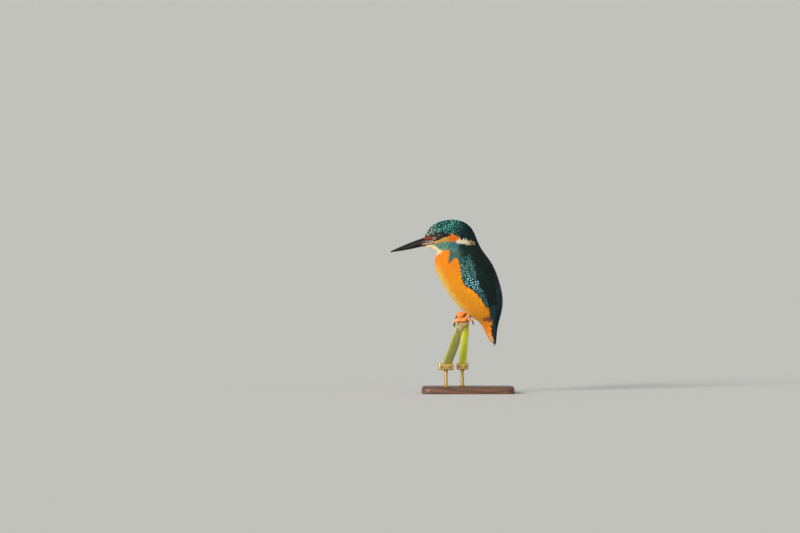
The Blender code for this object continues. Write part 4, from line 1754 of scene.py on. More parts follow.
@dataclass
class Wing:
    """A folded wing's coverts, scapulars and flight feathers."""

    side: str
    markings: Markings
    rows: int = 96
    columns: int = 44
    margin: float = 0.02
    step: float = 0.3
    reach: float = 34.0
    lesser_floor: float = -37.0
    scapular_end: float = 0.60
    covert_rise: float = 0.35

    def __post_init__(self) -> None:
        """Cast the grid on the wing's outer face."""
        self.sign = -1.0 if self.side == "left" else 1.0
        mesh = joined_nodes(("wing_" + self.side,), 0.0)
        self.tree = tree_of(mesh)
        points = points_of(mesh)[:, (0, 2)]
        bpy.data.meshes.remove(mesh)
        self.top, self.tip = points[points[:, 1].argmax()], points[points[:, 1].argmin()]
        self.lay = Lay(self._cast(), closed=False, outward=self.sign)

    def _hit(self, place: Array) -> float:
        """How far out the wing's face is at a place in the profile plane, or NaN beside it."""
        start = Vector((place[0], self.sign * 60.0, place[1]))
        return (self.tree.ray_cast(start, Vector((0.0, -self.sign, 0.0)))[0] or (0.0, math.nan))[1]

    def _cast(self) -> Array:
        """Find the grid, from the lower to the upper edge in each slice.

        Returns:
            Its places, (row, column, 3).
        """
        axis = unit(self.tip - self.top)
        across = np.array((-axis[1], axis[0]))
        shares = np.linspace(0.015, 0.99, self.rows)
        middles = self.top + axis * float(np.linalg.norm(self.tip - self.top)) * shares[:, None]
        trials = np.arange(-self.reach, self.reach, self.step)
        edges = np.empty((self.rows, 2))
        for row, middle in enumerate(middles):
            met = [t for t in trials if not math.isnan(self._hit(middle + across * t))]
            edges[row] = (met[0], met[-1])
        edges = smoothed(edges, EVEN_KERNEL, mode="reflect", reflect_type="odd")
        grid = np.empty((self.rows, self.columns, 3))
        parts = np.linspace(self.margin, 1.0 - self.margin, self.columns)
        for row, (middle, (low, high)) in enumerate(zip(middles, edges)):
            for column, part in enumerate(parts):
                place = middle + across * (low + (high - low) * part)
                grid[row, column] = (place[0], self._hit(place), place[1])
            grid[row, :, 1] = filled(grid[row, :, 1])
        return grid

    def regions(self, points: Array, row: Array) -> Array:
        """Which tract each place belongs to.

        Args:
            points: The places.
            row: Rows of the feathers' roots.

        Returns:
            Region numbers.
        """
        at = self.markings.offsets(points)
        coverts = COVERT_PATCH.share(at) > 0.5
        found = np.where(row / self.rows < self.scapular_end, Region.SCAPULAR, Region.BARE)
        found[coverts] = Region.GREATER
        found[coverts & (at[:, 1] > self.lesser_floor)] = Region.LESSER
        return found

    def build(self, dice: Dice) -> None:
        """Feather the wing.

        Args:
            dice: Random draws.
        """
        name = "flight_feathers_" + self.side
        quills = Plume(name, "wing_feathers", FLIGHT_FEATHERS.build(), QUILL, self.lay, dice)
        for fan in WING_FANS:
            fan.add_to(quills, FLIGHT)
        quills.finish_piece()
        finish = GLOSSY_FEATHERS.build()
        for tract in WING_TRACTS:
            row, column = self.lay.courses(tract.row_gap, tract.column_gap)
            ahead = self.lay.ahead(row, column, SEEN_SHARE * tract.vane.length)
            seen = self.lay.read(self.lay.points, *ahead)
            chosen = self.regions(seen, row) == tract.region
            tones = self.markings.wing(seen[chosen])
            tones.vary(dice, tract.variety)
            plume = Plume(f"{tract.piece}_{self.side}", tract.slot, finish, tract.vane, self.lay, dice)
            plume.add(row[chosen], column[chosen], tones, self.covert_rise)
            plume.finish_piece()


@dataclass
class Tail:
    """The tail's quills, fanned over its back."""

    plumage: Plumage
    count: int = 12
    width: float = 3.6
    root_row: float = 0.80
    spread: Pair = (0.16, 0.84)
    stack: float = 0.05
    lift: float = 0.1
    variety: float = 0.08
    seat_row: int = 12

    def build(self, dice: Dice) -> None:
        """Lay the quills.

        Args:
            dice: Random draws.
        """
        lay = self.plumage.lay
        rows, width = lay.points.shape[:2]
        seats = np.arange(-(width // 4), width // 4 + 1)
        passed = passed_along(lay.points[rows - self.seat_row, seats % width])
        middle = np.interp(np.linspace(*self.spread, self.count) * passed[-1], passed, seats)
        path = rows * self.root_row + (rows * (1.0 - self.root_row) - 1.0) * np.array(QUILL.stops)
        columns = np.tile(middle[:, None], (1, len(path)))
        aside = np.abs(np.arange(self.count) - (self.count - 1) / 2)
        heights = self.lift + self.stack * (self.count / 2 - aside)
        tones = Tones.of(TAIL, self.count)
        tones.vary(dice, self.variety)
        plume = Plume("tail_quills", "tail_feathers", FLIGHT_FEATHERS.build(), QUILL, lay, dice)
        plume.lay_out(np.tile(path, (self.count, 1)), columns, tones, self.width, heights)
        plume.finish_piece()


# ---- bill, eyes and feet


def tube_faces(rings: int, turns: int) -> list[tuple[int, ...]]:
    """Faces of a closed tube with capped ends.

    Args:
        rings: How many rings it has.
        turns: How many places each has.

    Returns:
        The vertices of each face.
    """
    faces = []
    for near in range(0, (rings - 1) * turns, turns):
        far = near + turns
        for turn in range(turns):
            following = (turn + 1) % turns
            faces.append((near + turn, far + turn, far + following, near + following))
    return [*faces, tuple(range(turns)), tuple((rings - 1) * turns + turn for turn in reversed(range(turns)))]


def tube(name: str, rings: Array) -> Mesh:
    """A smooth closed tube.

    Args:
        name: Its name.
        rings: Its places, (ring, turn, 3).

    Returns:
        The mesh, with its faces turned outward.
    """
    mesh = quad_mesh(name, rings.reshape(-1, 3), tube_faces(*rings.shape[:2]))
    with edited(mesh) as shaped:
        bmesh.ops.recalc_face_normals(shaped, faces=shaped.faces)
    mesh.shade_smooth()
    return mesh


@dataclass(frozen=True)
class HornFinish:
    """Dark horn with long fine streaks, a painted sheen along its sides, a pale tip from wear and bare flesh
    at the gape.
    """

    name: str
    dark: Colour = rgb(9, 9, 9)
    # The lighter horn, for the streaks and for the painted sheen along the sides.
    light: Colour = rgb(24, 24, 23)
    tip: Colour = rgb(196, 184, 160)
    streak: tuple[float, float, float] = (0.22, 2.2, 2.2)
    roughness: float = 0.34

    def build(self) -> Material:
        """Lay out the material.

        Returns:
            The finished material.
        """
        board = Board(self.name)
        tip, edge, _ = board.parts(board.tagged("horn", "Vector"))
        flesh = board.tagged("flesh", "Alpha")
        streaks = board.noise(board.place(*self.streak), 1.0, 5.0, 0.65)
        grain = board.noise(board.place(), 5.0, 3.0)
        # edge holds the painted sheen, lighter along the sides of the bill.
        horn = board.mix(board.fade(streaks, 0.42, 0.72) * 0.6 + edge * 0.35, self.dark, self.light)
        horn = board.mix(tip * (0.75 + grain * 0.4), horn, self.tip)
        colour = board.mix(flesh * (0.75 + grain * 0.4), horn, board.tagged("flesh"))
        return board.surface(
            Base_Color=colour,
            Roughness=self.roughness + streaks * 0.22 - edge * 0.08,
            Specular_IOR_Level=0.20,
            Coat_Weight=0.04,
            Coat_Roughness=0.25,
            Normal=board.bump(streaks * 0.7 + grain * 0.3, 0.35, 0.05),
        )


@dataclass
class Bill:
    """The two halves of the bill, recast finer from the CAD nodes."""

    markings: Markings
    rings: int = 120
    turns: int = 76
    closing: float = 0.15
    nostril_back: float = 9.9
    nostril_length: float = 1.5
    nostril_level: float = 0.30
    nostril_depth: float = 0.40
    culmen_ridge: float = 0.10
    edge_roll: float = 0.10

    def build(self) -> None:
        """Make both halves."""
        finish = HornFinish("bill_horn").build()
        for half in ("upper", "lower"):
            self._half(half, finish)

    def _half(self, half: str, finish: Material) -> None:
        """Recast one half, with its ridges, nostrils and colours.

        Args:
            half: Which.
            finish: Its material.
        """
        node = "bill_" + half
        tree = tree_of_nodes(node)
        low, high = box_of(node)
        shares = np.linspace(0.0, 1.0, self.rings) ** 1.25
        stations = low[0] + 0.05 + (high[0] - low[0] - 0.1) * shares
        angles = np.arange(self.turns) / self.turns * math.tau
        rings = np.empty((self.rings, self.turns, 3))
        reach = np.full(self.turns, 0.1)
        for ring, x in enumerate(stations):
            top = tree.ray_cast(Vector((x, 0.0, high[2] + 5.0)), Vector((0.0, 0.0, -1.0)))[0]
            foot = tree.ray_cast(Vector((x, 0.0, low[2] - 5.0)), Vector((0.0, 0.0, 1.0)))[0]
            middle = Vector((x, 0.0, (top[2] + foot[2]) / 2.0))
            for turn, angle in enumerate(angles):
                hit = tree.ray_cast(middle, Vector((0.0, -math.cos(angle), math.sin(angle))))
                if hit[0] is not None:
                    reach[turn] = hit[3]
            rings[ring, :, 0] = x
            rings[ring, :, 1] = -np.cos(angles) * reach
            rings[ring, :, 2] = middle[2] + np.sin(angles) * reach
        rings[1:-1] = (rings[:-2] + 2.0 * rings[1:-1] + rings[2:]) / 4.0
        self._detail(rings, angles, half == "upper")
        points = rings.reshape(-1, 3)
        mesh = tube(node, rings)
        tip = ramp(2.4, 0.7, points[:, 0] - low[0])
        # Painted sheen: lighter horn along the sides of the bill.
        side_sheen = ramp(0.55, 0.95, np.abs(points[:, 1]) / 3.0) * 0.25
        store(mesh, "horn", np.column_stack((tip, side_sheen, side_sheen)))
        store(mesh, "flesh", np.column_stack(self.markings.bill(points)))
        show(f"bill_{half}_horn", mesh, finish, "bill_horn", node)

    def _detail(self, rings: Array, angles: Array, upper: bool) -> None:
        """Nearly close the mouth, roll the cutting edges, raise the culmen and sink the nostrils.

        Args:
            rings: The half's places, (ring, turn, 3), which move.
            angles: Where each turn lies round a ring.
            upper: Whether it is the upper half.
        """
        way = 1.0 if upper else -1.0
        level, aside = np.sin(angles) * way, np.abs(np.cos(angles))
        width = np.abs(rings[..., 1]).max(1, keepdims=True)
        slim = np.clip(np.ptp(rings[..., 2], axis=1)[:, None] / 3.0, 0.15, 1.0)
        rings[..., 2] -= way * self.closing * ramp(0.1, -0.5, level)
        rim = hump((level + 0.12) / 0.16) * (aside > 0.5)
        rings[..., 1] *= 1.0 + self.edge_roll * rim * slim / np.maximum(width, 0.5)
        crest = hump(aside / 0.16) * (level > 0.0)
        rings[..., 2] += way * self.culmen_ridge * crest * slim
        if upper:
            side = np.sign(rings[..., 1]) * (aside > 0.3)
            back = rings[..., 0] - (rings[-1, 0, 0] - self.nostril_back)
            long = hump((back / self.nostril_length) ** 2)
            slit = hump((level - self.nostril_level) / 0.12) * long
            swell = hump((level - self.nostril_level - 0.26) / 0.14) * long
            run = ramp(-2.0, -7.0, back) * ramp(-30.0, -16.0, back)
            groove = hump((level - 0.45) / 0.13) * run
            rings[..., 1] += side * (0.16 * swell - self.nostril_depth * slit - 0.09 * groove)


@dataclass(frozen=True)
class EyeFinish:
    """A wet dark eye: pupil, brown fibrous iris and a black rim, by the stored angle from its axis."""

    name: str = "wet_eye"
    pupil: Colour = rgb(4, 4, 5)
    iris: Colour = rgb(18, 10, 6)
    iris_light: Colour = rgb(40, 22, 12)
    pupil_angle: float = 0.30
    iris_angle: float = 0.50

    def build(self) -> Material:
        """Lay out the material.

        Returns:
            The finished material.
        """
        board = Board(self.name)
        angle, round_x, round_y = board.parts(board.tagged("gaze", "Vector"))
        fibres = board.noise(board.at(round_x * 9.0, round_y * 9.0, angle * 1.5), 1.6, 4.0, 0.7)
        iris = board.mix(board.fade(fibres, 0.4, 0.7) * 0.6, self.iris, self.iris_light)
        inner = board.fade(angle + fibres * 0.02, self.pupil_angle, self.pupil_angle + 0.05)
        outer = board.fade(angle, self.iris_angle - 0.08, self.iris_angle + 0.04)
        return board.surface(
            Base_Color=board.mix(outer, board.mix(inner, self.pupil, iris), self.pupil),
            Roughness=0.40 + fibres * 0.06,
            Specular_IOR_Level=0.05,
            Coat_Weight=0.9,
            Coat_Roughness=0.02,
            Coat_IOR=1.5,
        )


@dataclass
class Eyeball:
    """One eye, with a cornea that stands a little out of the ball."""

    socket: Socket
    rings: int = 48
    turns: int = 72
    bulge: float = 0.30
    bulge_angle: float = 0.46

    def build(self) -> None:
        """Make the eye."""
        axis = self.socket.axis
        up = unit(np.array((0.0, 0.0, 1.0)) - axis * axis[2])
        side = np.cross(axis, up)
        angles = math.pi * 0.94 * np.linspace(0.0, 1.0, self.rings + 1)[1:] ** 1.5
        turns = np.arange(self.turns) / self.turns * math.tau
        reach = self.socket.radius + self.bulge * hump(angles / self.bulge_angle)
        spread = np.cos(turns)[:, None] * side + np.sin(turns)[:, None] * up
        rings = np.cos(angles)[:, None, None] * axis + np.sin(angles)[:, None, None] * spread
        name = "eyeball_" + self.socket.side
        mesh = tube(name, self.socket.centre + rings * reach[:, None, None])
        gaze = np.stack(np.broadcast_arrays(angles[:, None], np.cos(turns), np.sin(turns)), -1)
        store(mesh, "gaze", gaze.reshape(-1, 3))
        show(name, mesh, EyeFinish().build(), "eye", "eye_" + self.socket.side)


def surface_distance(mesh: Mesh, seeds: Array) -> Array:
    """How far each vertex lies from the nearest seed, measured over the surface.

    Args:
        mesh: The mesh, mostly of four-sided faces.
        seeds: Which vertices are seeds.

    Returns:
        Millimetres.
    """
    points = points_of(mesh)
    fours = np.array([tuple(face.vertices) for face in mesh.polygons if len(face.vertices) == 4])
    pairs = np.concatenate((edges_of(mesh), fours[:, ::2], fours[:, 1::2]))
    pairs = np.concatenate((pairs, pairs[:, ::-1]))
    lengths = lengths_of(points[pairs[:, 0]] - points[pairs[:, 1]])
    reach = np.where(seeds, 0.0, np.inf)
    while True:
        before = reach.copy()
        np.minimum.at(reach, pairs[:, 0], before[pairs[:, 1]] + lengths)
        if np.array_equal(before, reach):
            return np.where(np.isinf(reach), reach[np.isfinite(reach)].max(), reach)


@dataclass(frozen=True)
class FootFinish:
    """Scaly orange-red skin, darker between the scales, which are stored in scute."""

    name: str = "foot_skin"
    scale: Colour = rgb(214, 108, 38)
    lit: Colour = rgb(238, 164, 82)
    groove: Colour = rgb(140, 60, 24)

    def build(self) -> Material:
        """Lay out the material.

        Returns:
            The finished material.
        """
        board = Board(self.name)
        rise, above, _ = board.parts(board.tagged("scute", "Vector"))
        mottle = board.noise(board.place(), 1.3, 4.0, 0.6)
        pebble = board.noise(board.place(), 9.0, 2.0)
        skin = board.mix(board.fade(mottle, 0.35, 0.7) * (0.4 + above * 0.5), self.scale, self.lit)
        skin = board.mix(board.fade(rise, 0.6, 0.05) * 0.85, skin, self.groove)
        return board.surface(
            Base_Color=skin,
            Roughness=0.42 + pebble * 0.25,
            Subsurface_Weight=0.08,
            Subsurface_Scale=0.001,
            Normal=board.bump(pebble * 0.6 + mottle * 0.4, 0.5, 0.04),
        )


@dataclass(frozen=True)
class ClawFinish:
    """Black horn, browner at its root."""

    name: str = "claw_horn"

    def build(self) -> Material:
        """Lay out the material.

        Returns:
            The finished material.
        """
        board = Board(self.name)
        fall = board.tagged("fall", "Fac")
        streaks = board.noise(board.place(2.0, 2.0, 0.7), 2.0, 4.0, 0.6)
        colour = board.mix(board.fade(fall, 0.45, 0.0) * 0.8, rgb(20, 18, 18), rgb(84, 48, 34))
        return board.surface(
            Base_Color=board.mix(board.fade(streaks, 0.45, 0.75) * 0.4, colour, rgb(70, 62, 56)),
            Roughness=0.26 + streaks * 0.2,
            Coat_Weight=0.3,
            Coat_Roughness=0.15,
            Normal=board.bump(streaks, 0.3, 0.03),
        )


@dataclass
class Foot:
    """A leg with its four toes under one scaly skin, and the claws."""

    side: str
    voxel: float = 0.2
    swell: float = 0.19
    scute: float = 0.95
    scute_rise: float = 0.09
    wrinkle: float = 0.02
    claw_voxel: float = 0.09
    claw_growth: float = 1.24

    def build(self) -> None:
        """Make the skin and claws."""
        leg = "leg_" + self.side
        toes = [f"toe_{self.side}_{toe}" for toe in TOES]
        mesh = remeshed(joined_nodes((leg, *toes), self.swell), self.voxel)
        edges = edges_of(mesh)
        points = relaxed(points_of(mesh), edges, 3)
        move_points(mesh, points)
        normals = normals_of(mesh)
        points = points - normals * self.swell * 0.8
        move_points(mesh, points)
        reach = surface_distance(mesh, points[:, 2] > points[:, 2].max() - 0.35)
        reach = relaxed(reach[:, None], edges, 6)[:, 0]
        above = ramp(-0.35, 0.25, normals[:, 2] + 0.6 * np.abs(normals[:, 0]))
        phase = reach / self.scute % 1.0
        plate = np.minimum(1.0, 6.0 * np.minimum(phase, 1.0 - phase)) ** 0.7
        mound = np.sin(points * 9.0).prod(1)
        rise = plate * above + (0.5 + 0.5 * mound) * (1.0 - above)
        height = self.scute_rise * (rise - 0.6) + self.wrinkle * mound * (1.0 - above)
        move_points(mesh, points + normals * height[:, None])
        mesh.shade_smooth()
        store(mesh, "scute", np.column_stack((rise, above, above)))
        show(f"foot_{self.side}_skin", mesh, FootFinish().build(), "foot_skin", leg, *toes)
        finish = ClawFinish().build()
        for toe in TOES:
            self._claw(toe, finish)

    def _claw(self, toe: str, finish: Material) -> None:
        """Make one claw with rounded flanks.

        Args:
            toe: Its toe.
            finish: Its material.
        """
        node = f"claw_{self.side}_{toe}"
        mesh = remeshed(joined_nodes((node,), 0.05), self.claw_voxel)
        points = relaxed(points_of(mesh), edges_of(mesh), 4)
        tip = points[points[:, 2].argmin()]
        points = tip + (points - tip) * self.claw_growth
        move_points(mesh, points)
        mesh.shade_smooth()
        fall = points[:, 2].max() - points[:, 2]
        store(mesh, "fall", fall / fall.max())
        show(f"horn_{self.side}_{toe}", mesh, finish, "claw_horn", node)


# ---- perch and stand


@dataclass(frozen=True)
class LeafFinish:
    """A living reed-mace leaf: parallel veins, a vivid limb with a painted highlight along one side, and a
    fading one painted greyer and darker, partly its own colour and partly painted shade, as stored in leaf.
    """

    name: str = "reed_leaf"

    def build(self) -> Material:
        """Lay out the material.

        Returns:
            The finished material.
        """
        board = Board(self.name)
        along, across, faded_and_shaded = board.parts(board.tagged("leaf", "Vector"))
        veins = board.noise(board.at(across * 9.0, along * 0.05, faded_and_shaded * 4.0), 1.6, 5.0, 0.7)
        fibres = board.noise(board.at(across * 34.0, along * 0.22, faded_and_shaded * 4.0), 1.0, 3.0, 0.6)
        blotch = board.noise(board.place(1.0, 1.0, 0.6), 0.22, 4.0, 0.6)
        specks = board.fade(board.noise(board.place(1.0, 1.0, 0.5), 1.9, 2.0), 0.66, 0.74)
        fresh = board.mix(board.fade(veins, 0.35, 0.7), rgb(172, 180, 8), rgb(208, 208, 14))
        # Painted highlight: a lighter yellow band along one side of the vivid limb.
        fresh = board.mix(board.fade(across, 0.35, 0.95), fresh, rgb(214, 214, 76))
        edges = board.fade(abs(across), 0.72, 1.0) * board.fade(blotch, 0.52, 0.64)
        fresh = board.mix(edges * 0.8, fresh, rgb(214, 150, 54))
        # The hanging limb is greyer and darker: partly its own fading underside, partly painted shade.
        faded_shaded_limb = board.mix(board.fade(veins, 0.3, 0.7), rgb(92, 94, 18), rgb(124, 122, 34))
        faded_shaded_limb = board.mix(board.fade(across, -0.55, -0.95) * 0.8, faded_shaded_limb, rgb(160, 166, 64))
        near_fold = board.fade(along, 84.0, 60.0)
        faded_shaded_limb = board.mix(near_fold * board.fade(blotch, 0.42, 0.6) * 0.7, faded_shaded_limb, rgb(196, 158, 124))
        colour = board.mix(specks * (0.25 + faded_and_shaded * 0.45), board.mix(faded_and_shaded, fresh, faded_shaded_limb), rgb(74, 62, 30))
        light = 0.78 + fibres * 0.3
        return board.surface(
            Base_Color=board.shaded(colour, light, light, light * 0.96),
            Roughness=0.40 + fibres * 0.2 + faded_and_shaded * 0.1,
            Subsurface_Weight=0.10,
            Subsurface_Scale=0.002,
            Coat_Weight=0.08,
            Normal=board.bump(fibres * 0.6 + veins * 0.4, 0.5, 0.08),
        )


@dataclass
class Leaf:
    """The bent leaf that the feet grip. Its route is in shares of its depth and height."""

    voxel: float = 0.28
    swell: float = 0.12
    ribs: int = 7
    rib_height: float = 0.09
    crease: float = 0.10
    bands: int = 60
    route: Profile = (
        (0.902, 0.0), (0.908, 0.539), (0.914, 0.770), (0.926, 0.923), (0.866, 0.977), (0.762, 0.944),
        (0.531, 0.873), (0.281, 0.826), (0.111, 0.762), (0.074, 0.646), (0.074, 0.0),
    )

    def build(self) -> None:
        """Make the leaf."""
        mesh = remeshed(joined_nodes(("perch_leaf",), self.swell), self.voxel)
        points = relaxed(points_of(mesh), edges_of(mesh), 3)
        move_points(mesh, points)
        normals = normals_of(mesh)
        along, total = self._along(points)
        way = along / total
        band = np.clip((way * self.bands).astype(int), 0, self.bands - 1)
        limits = [(points[band == i, 0].min(), points[band == i, 0].max()) for i in range(self.bands)]
        limits = smoothed(np.array(limits), EVEN_KERNEL, mode="edge")
        left, right = (np.interp(way * self.bands - 0.5, np.arange(self.bands), edge) for edge in limits.T)
        half = np.maximum((right - left) / 2.0, 1.0)
        across = np.clip((points[:, 0] - (left + right) / 2.0) / half, -1.0, 1.0)
        faced = ramp(0.35, 0.75, np.hypot(normals[:, 1], normals[:, 2]))
        rib = np.abs(np.cos(across * math.pi * self.ribs / 2.0)) ** 0.8
        wave = np.sin(along * 0.9 + 3.0 * across) * hump((way - 0.5) / 0.08)
        height = self.rib_height * (rib - 0.6) * faced * (np.abs(across) < 0.93) + self.crease * wave * faced
        move_points(mesh, points + normals * (height - self.swell * 0.7)[:, None])
        mesh.shade_smooth()
        # The third value is the share of the hanging limb, which its finish paints greyer and darker: partly
        # its own colour, partly painted shade.
        store(mesh, "leaf", np.column_stack((along, across, ramp(0.46, 0.54, way))))
        show("bent_leaf", mesh, LeafFinish().build(), "reed_leaf", "perch_leaf")

    def _along(self, points: Array) -> tuple[Array, float]:
        """Where points lie along the leaf.

        Args:
            points: The points.

        Returns:
            How far along its route each lies, and the route's length.
        """
        low, high = box_of("perch_leaf")
        route = np.array(self.route) * (high - low)[1:] + low[1:]
        best = np.full(len(points), np.inf)
        along = np.zeros(len(points))
        passed = 0.0
        for start, end in zip(route[:-1], route[1:]):
            edge = end - start
            length = float(np.linalg.norm(edge))
            share = np.clip((points[:, 1:] - start) @ edge / length**2, 0.0, 1.0)
            gap = lengths_of(points[:, 1:] - start - share[:, None] * edge)
            along = np.where(gap < best, passed + share * length, along)
            best = np.minimum(gap, best)
            passed += length
        return along, passed


@dataclass(frozen=True)
class WalnutFinish:
    """Oiled walnut with long grain, growth rings and open pores."""

    name: str = "walnut"

    def build(self) -> Material:
        """Lay out the material.

        Returns:
            The finished material.
        """
        board = Board(self.name)
        warp = board.noise(board.place(0.012, 0.06, 0.06), 1.0, 2.0)
        x, y, z = board.parts(board.place())
        rings = board.math("SINE", (y * 0.34 + z * 0.5 + x * 0.012 + warp * 9.0) * 2.2) * 0.5 + 0.5
        grain = board.noise(board.place(0.06, 1.9, 1.9), 1.0, 5.0, 0.65)
        pores = board.fade(board.noise(board.place(0.35, 5.5, 5.5), 1.0, 2.0), 0.60, 0.70)
        colour = board.mix(rings * 0.55 + grain * 0.35, rgb(58, 34, 22), rgb(116, 74, 46))
        colour = board.mix(pores * 0.65, colour, rgb(30, 17, 11))
        return board.surface(
            Base_Color=colour,
            Roughness=0.36 + grain * 0.2 + pores * 0.2,
            Coat_Weight=0.16,
            Coat_Roughness=0.3,
            Normal=board.bump(grain * 0.5 - pores * 0.5, 0.35, 0.12),
        )


@dataclass(frozen=True)
class MetalFinish:
    """Brushed metal, a little tarnished in cloudy patches."""

    name: str
    brush: tuple[float, float, float] = (0.25, 6.0, 6.0)
    low: Colour = rgb(206, 164, 84)
    high: Colour = rgb(226, 190, 112)
    tarnish: Colour = rgb(142, 104, 52)

    def build(self) -> Material:
        """Lay out the material.

        Returns:
            The finished material.
        """
        board = Board(self.name)
        brushing = board.noise(board.place(*self.brush), 1.0, 4.0, 0.7)
        cloud = board.noise(board.place(), 0.35, 4.0, 0.6)
        tarnish = board.fade(cloud, 0.45, 0.72)
        colour = board.mix(brushing * 0.5, self.low, self.high)
        return board.surface(
            Base_Color=board.mix(tarnish * 0.5, colour, self.tarnish),
            Metallic=1.0,
            Roughness=0.22 + brushing * 0.16 + tarnish * 0.16,
            Normal=board.bump(brushing, 0.25, 0.03),
        )


def softened(node: str, width: float) -> Mesh:
    """A copy of a CAD node with rounded edges.

    Args:
        node: The node.
        width: How wide its edges are rounded, in millimetres.

    Returns:
        The mesh.
    """
    mesh = node_copy(node)
    with edited(mesh) as shaped:
        flat, sharp = math.radians(1.0), math.radians(32.0)
        bmesh.ops.dissolve_limit(shaped, angle_limit=flat, verts=shaped.verts, edges=shaped.edges)
        edges = [e for e in shaped.edges if len(e.link_faces) == 2 and e.calc_face_angle() > sharp]
        bmesh.ops.bevel(
            shaped, geom=edges, offset=width * MM, segments=3, profile=0.5, affect="EDGES", clamp_overlap=True
        )
    mesh.shade_smooth()
    mesh.set_sharp_from_angle(angle=math.radians(30.0))
    return mesh


def turned(name: str, profile: Sequence[Pair], place: Vector, axis: Vector, hexed: int) -> Mesh:
    """A turned part, whose first rings may be six-sided.

    Args:
        name: Its name.
        profile: Radius and height of each ring, from the middle outward.
        place: Its foot.
        axis: Which way it stands.
        hexed: How many rings, from the first, follow a six-sided key.

    Returns:
        The mesh.
    """
    turns = 48
    angles = np.arange(turns) / turns * math.tau
    key = math.cos(math.pi / 6.0) / np.cos(angles % (math.pi / 3.0) - math.pi / 6.0)
    along = np.array(axis)
    side = unit(np.cross(along, (0.31, 0.52, 0.79)))
    spread = np.cos(angles)[:, None] * side + np.sin(angles)[:, None] * np.cross(along, side)
    rings = []
    for index, (radius, height) in enumerate(profile):
        reach = radius * (key if index < hexed else np.ones(turns))
        rings.append(np.array(place) + spread * reach[:, None] + along * height)
    mesh = tube(name, np.array(rings))
    mesh.set_sharp_from_angle(angle=math.radians(35.0))
    return mesh


@dataclass
class Stand:
    """The walnut base with brass rods, collars and clips, and steel screws, which are turned by profiles."""

    edge: float = 0.5
    clip_edge: float = 0.22
    screws_at: Pair = (0.22, 0.78)
    collar: Profile = (
        (2.5, 0.0), (2.9, 0.12), (3.0, 0.45), (2.8, 0.75), (2.35, 0.9), (2.2, 1.25), (1.95, 1.5),
    )
    neck: Profile = (
        (1.5, 2.3), (1.75, 2.15), (1.75, 1.2), (2.0, 1.0), (2.35, 0.35), (2.35, -0.02),
    )
    screw: Profile = (
        (0.02, -0.15), (0.46, -0.15), (0.50, 0.26), (0.56, 0.30), (0.95, 0.30), (1.08, 0.24), (1.12, 0.10),
        (1.12, -0.2), (0.02, -0.2),
    )

    def build(self) -> None:
        """Make the stand."""
        brass = MetalFinish("brushed_brass").build()
        drawn = MetalFinish("drawn_brass", (6.0, 6.0, 0.25)).build()
        grey = (rgb(92, 90, 88), rgb(136, 134, 130), rgb(62, 50, 42))
        steel = MetalFinish("dark_steel", (4.0, 4.0, 4.0), *grey).build()
        base = softened("stand_base", self.edge)
        show("stand_plinth", base, WalnutFinish().build(), "stand_wood", "stand_base")
        for end in ("front", "back"):
            clip, rod = "stand_clip_" + end, "stand_rod_" + end
            show(f"stand_{end}_clip", softened(clip, self.clip_edge), brass, "stand_brass", clip)
            low, high = box_of(clip)
            show(f"stand_{end}_rod", self._rod(rod, low[2]), drawn, "stand_brass", rod)
            for number, share in enumerate(self.screws_at, 1):
                place = Vector((low[0] + (high[0] - low[0]) * share, low[1] + 0.02, (low[2] + high[2]) / 2.0))
                name = f"stand_{end}_screw_{number}"
                show(name, turned(name, self.screw, place, Vector((0.0, -1.0, 0.0)), 3), steel, "stand_brass")

    def _rod(self, node: str, top: float) -> Mesh:
        """A rod from the base up to its clip, with a collar at its foot and a neck at its top.

        Args:
            node: The CAD node of the rod.
            top: Where the clip begins.

        Returns:
            The mesh.
        """
        low, high = box_of(node)
        floor = box_of("stand_base")[1][2]
        radius, height = (high[0] - low[0]) / 2.0, top - floor
        rings = [(0.02, -0.1), *self.collar, (radius, 1.6), (radius, height - 2.4)]
        rings += [*((r, height - drop) for r, drop in self.neck), (0.02, height + 0.02)]
        foot = Vector(((low[0] + high[0]) / 2.0, (low[1] + high[1]) / 2.0, floor))
        return turned(node, rings, foot, Vector((0.0, 0.0, 1.0)), 0)


# ---- room


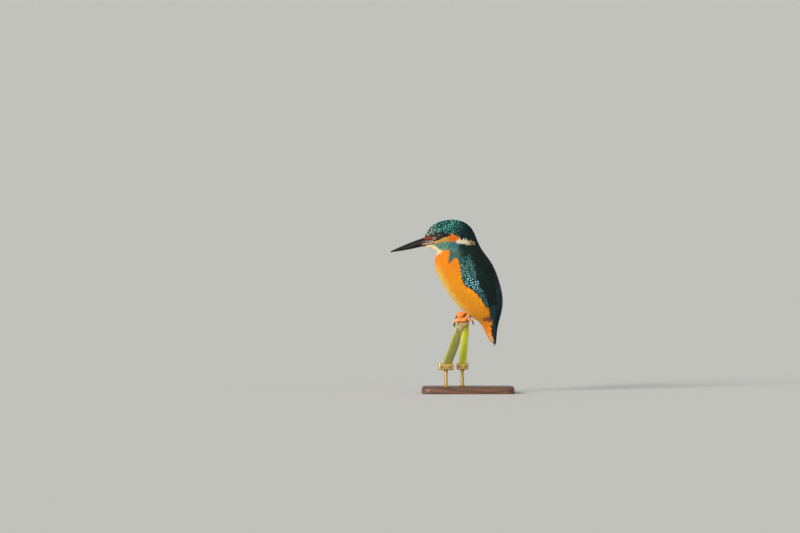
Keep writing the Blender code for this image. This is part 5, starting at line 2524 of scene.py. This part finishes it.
FLOOR_TONES = (rgb(200, 200, 197), rgb(194, 194, 191))
@dataclass
class Studio:
    """Pale floor, soft light and the camera."""

    floor_size: float = 900000.0
    sight: Colour = (-64.6, 0.0, 120.3)
    lens: float = 500.0
    distance: float = 10550.0
    elevation: float = math.radians(1.5)

    def build(self) -> None:
        """Set up floor, lamps and camera."""
        scene = bpy.context.scene
        scene.view_settings.view_transform = "Standard"
        half = self.floor_size / 2.0
        corners = np.array([(-half, -half, 0.0), (half, -half, 0.0), (half, half, 0.0), (-half, half, 0.0)])
        floor = object_of("floor", quad_mesh("floor", corners, [(0, 1, 2, 3)]), self._floor_finish())
        self._world()
        self._sun("key", (-0.72, -0.74, 0.36), power=4.0, spread=24.0, colour=(1.0, 0.96, 0.88))
        self._sun("fill", (0.1, -1.4, 0.2), power=1.2, spread=110.0, colour=(0.93, 0.97, 1.0))
        camera = bpy.data.objects.new("camera", bpy.data.cameras.new("camera"))
        camera.data.lens = self.lens
        camera.data.clip_start, camera.data.clip_end = 0.1, 1000.0
        back = Vector((0.0, -math.cos(self.elevation), math.sin(self.elevation)))
        camera.location = (Vector(self.sight) + back * self.distance) * MM
        camera.rotation_euler = (-back).to_track_quat("-Z", "Y").to_euler()
        scene.collection.objects.link(camera)
        scene.camera = camera

    @staticmethod
    def _floor_finish() -> Material:
        """A matt pale floor with a very faint cloudiness.

        Returns:
            The finish.
        """
        board = Board("studio_floor")
        cloud = board.noise(board.place(0.004, 0.004, 0.004), 1.0, 2.0) * 0.15
        return board.surface(Base_Color=board.mix(cloud, *FLOOR_TONES), Roughness=0.9)

    @staticmethod
    def _world() -> None:
        """An even pale surround."""
        world = bpy.data.worlds.new("surround")
        world.use_nodes = True
        ground = world.node_tree.nodes["Background"]
        ground.inputs["Color"].default_value = (0.86, 0.88, 0.90, 1.0)
        ground.inputs["Strength"].default_value = 0.45
        bpy.context.scene.world = world

    @staticmethod
    def _sun(name: str, heading: Colour, power: float, spread: float, colour: Colour) -> None:
        """A far lamp.

        Args:
            name: Its name.
            heading: Where its light comes from.
            power: Its power.
            spread: How wide it looks, in degrees.
            colour: Its colour.
        """
        lamp = bpy.data.lights.new(name, "SUN")
        lamp.energy = power
        lamp.angle = math.radians(spread)
        lamp.color = colour
        obj = bpy.data.objects.new(name, lamp)
        obj.rotation_euler = (-Vector(heading)).to_track_quat("-Z", "Y").to_euler()
        bpy.context.scene.collection.objects.link(obj)


def main() -> None:
    """Build the kingfisher, its perch, the stand and the studio."""
    logging.basicConfig(level=logging.INFO, format="%(message)s", force=True)
    dice = np.random.default_rng(20)
    skin = Skin()
    envelope = skin.envelope()
    outline = skin.envelope("bill_upper", "bill_lower")
    surface = tree_of(outline)
    bpy.data.meshes.remove(outline)
    sockets = skin.sockets(envelope)
    markings = Markings(sockets[0].place)
    plumage = Plumage(surface, tree_of_nodes("wing_left", "wing_right"), sockets, markings)
    skin.build(envelope, sockets, markings)
    plumage.build(dice)
    for side in SIDES:
        Wing(side, markings).build(dice)
    Tail(plumage).build(dice)
    Bill(markings).build()
    for socket in sockets:
        Eyeball(socket).build()
    for side in SIDES:
        Foot(side).build()
    Leaf().build()
    Stand().build()
    Studio().build()


if __name__ == "__main__":
    main()
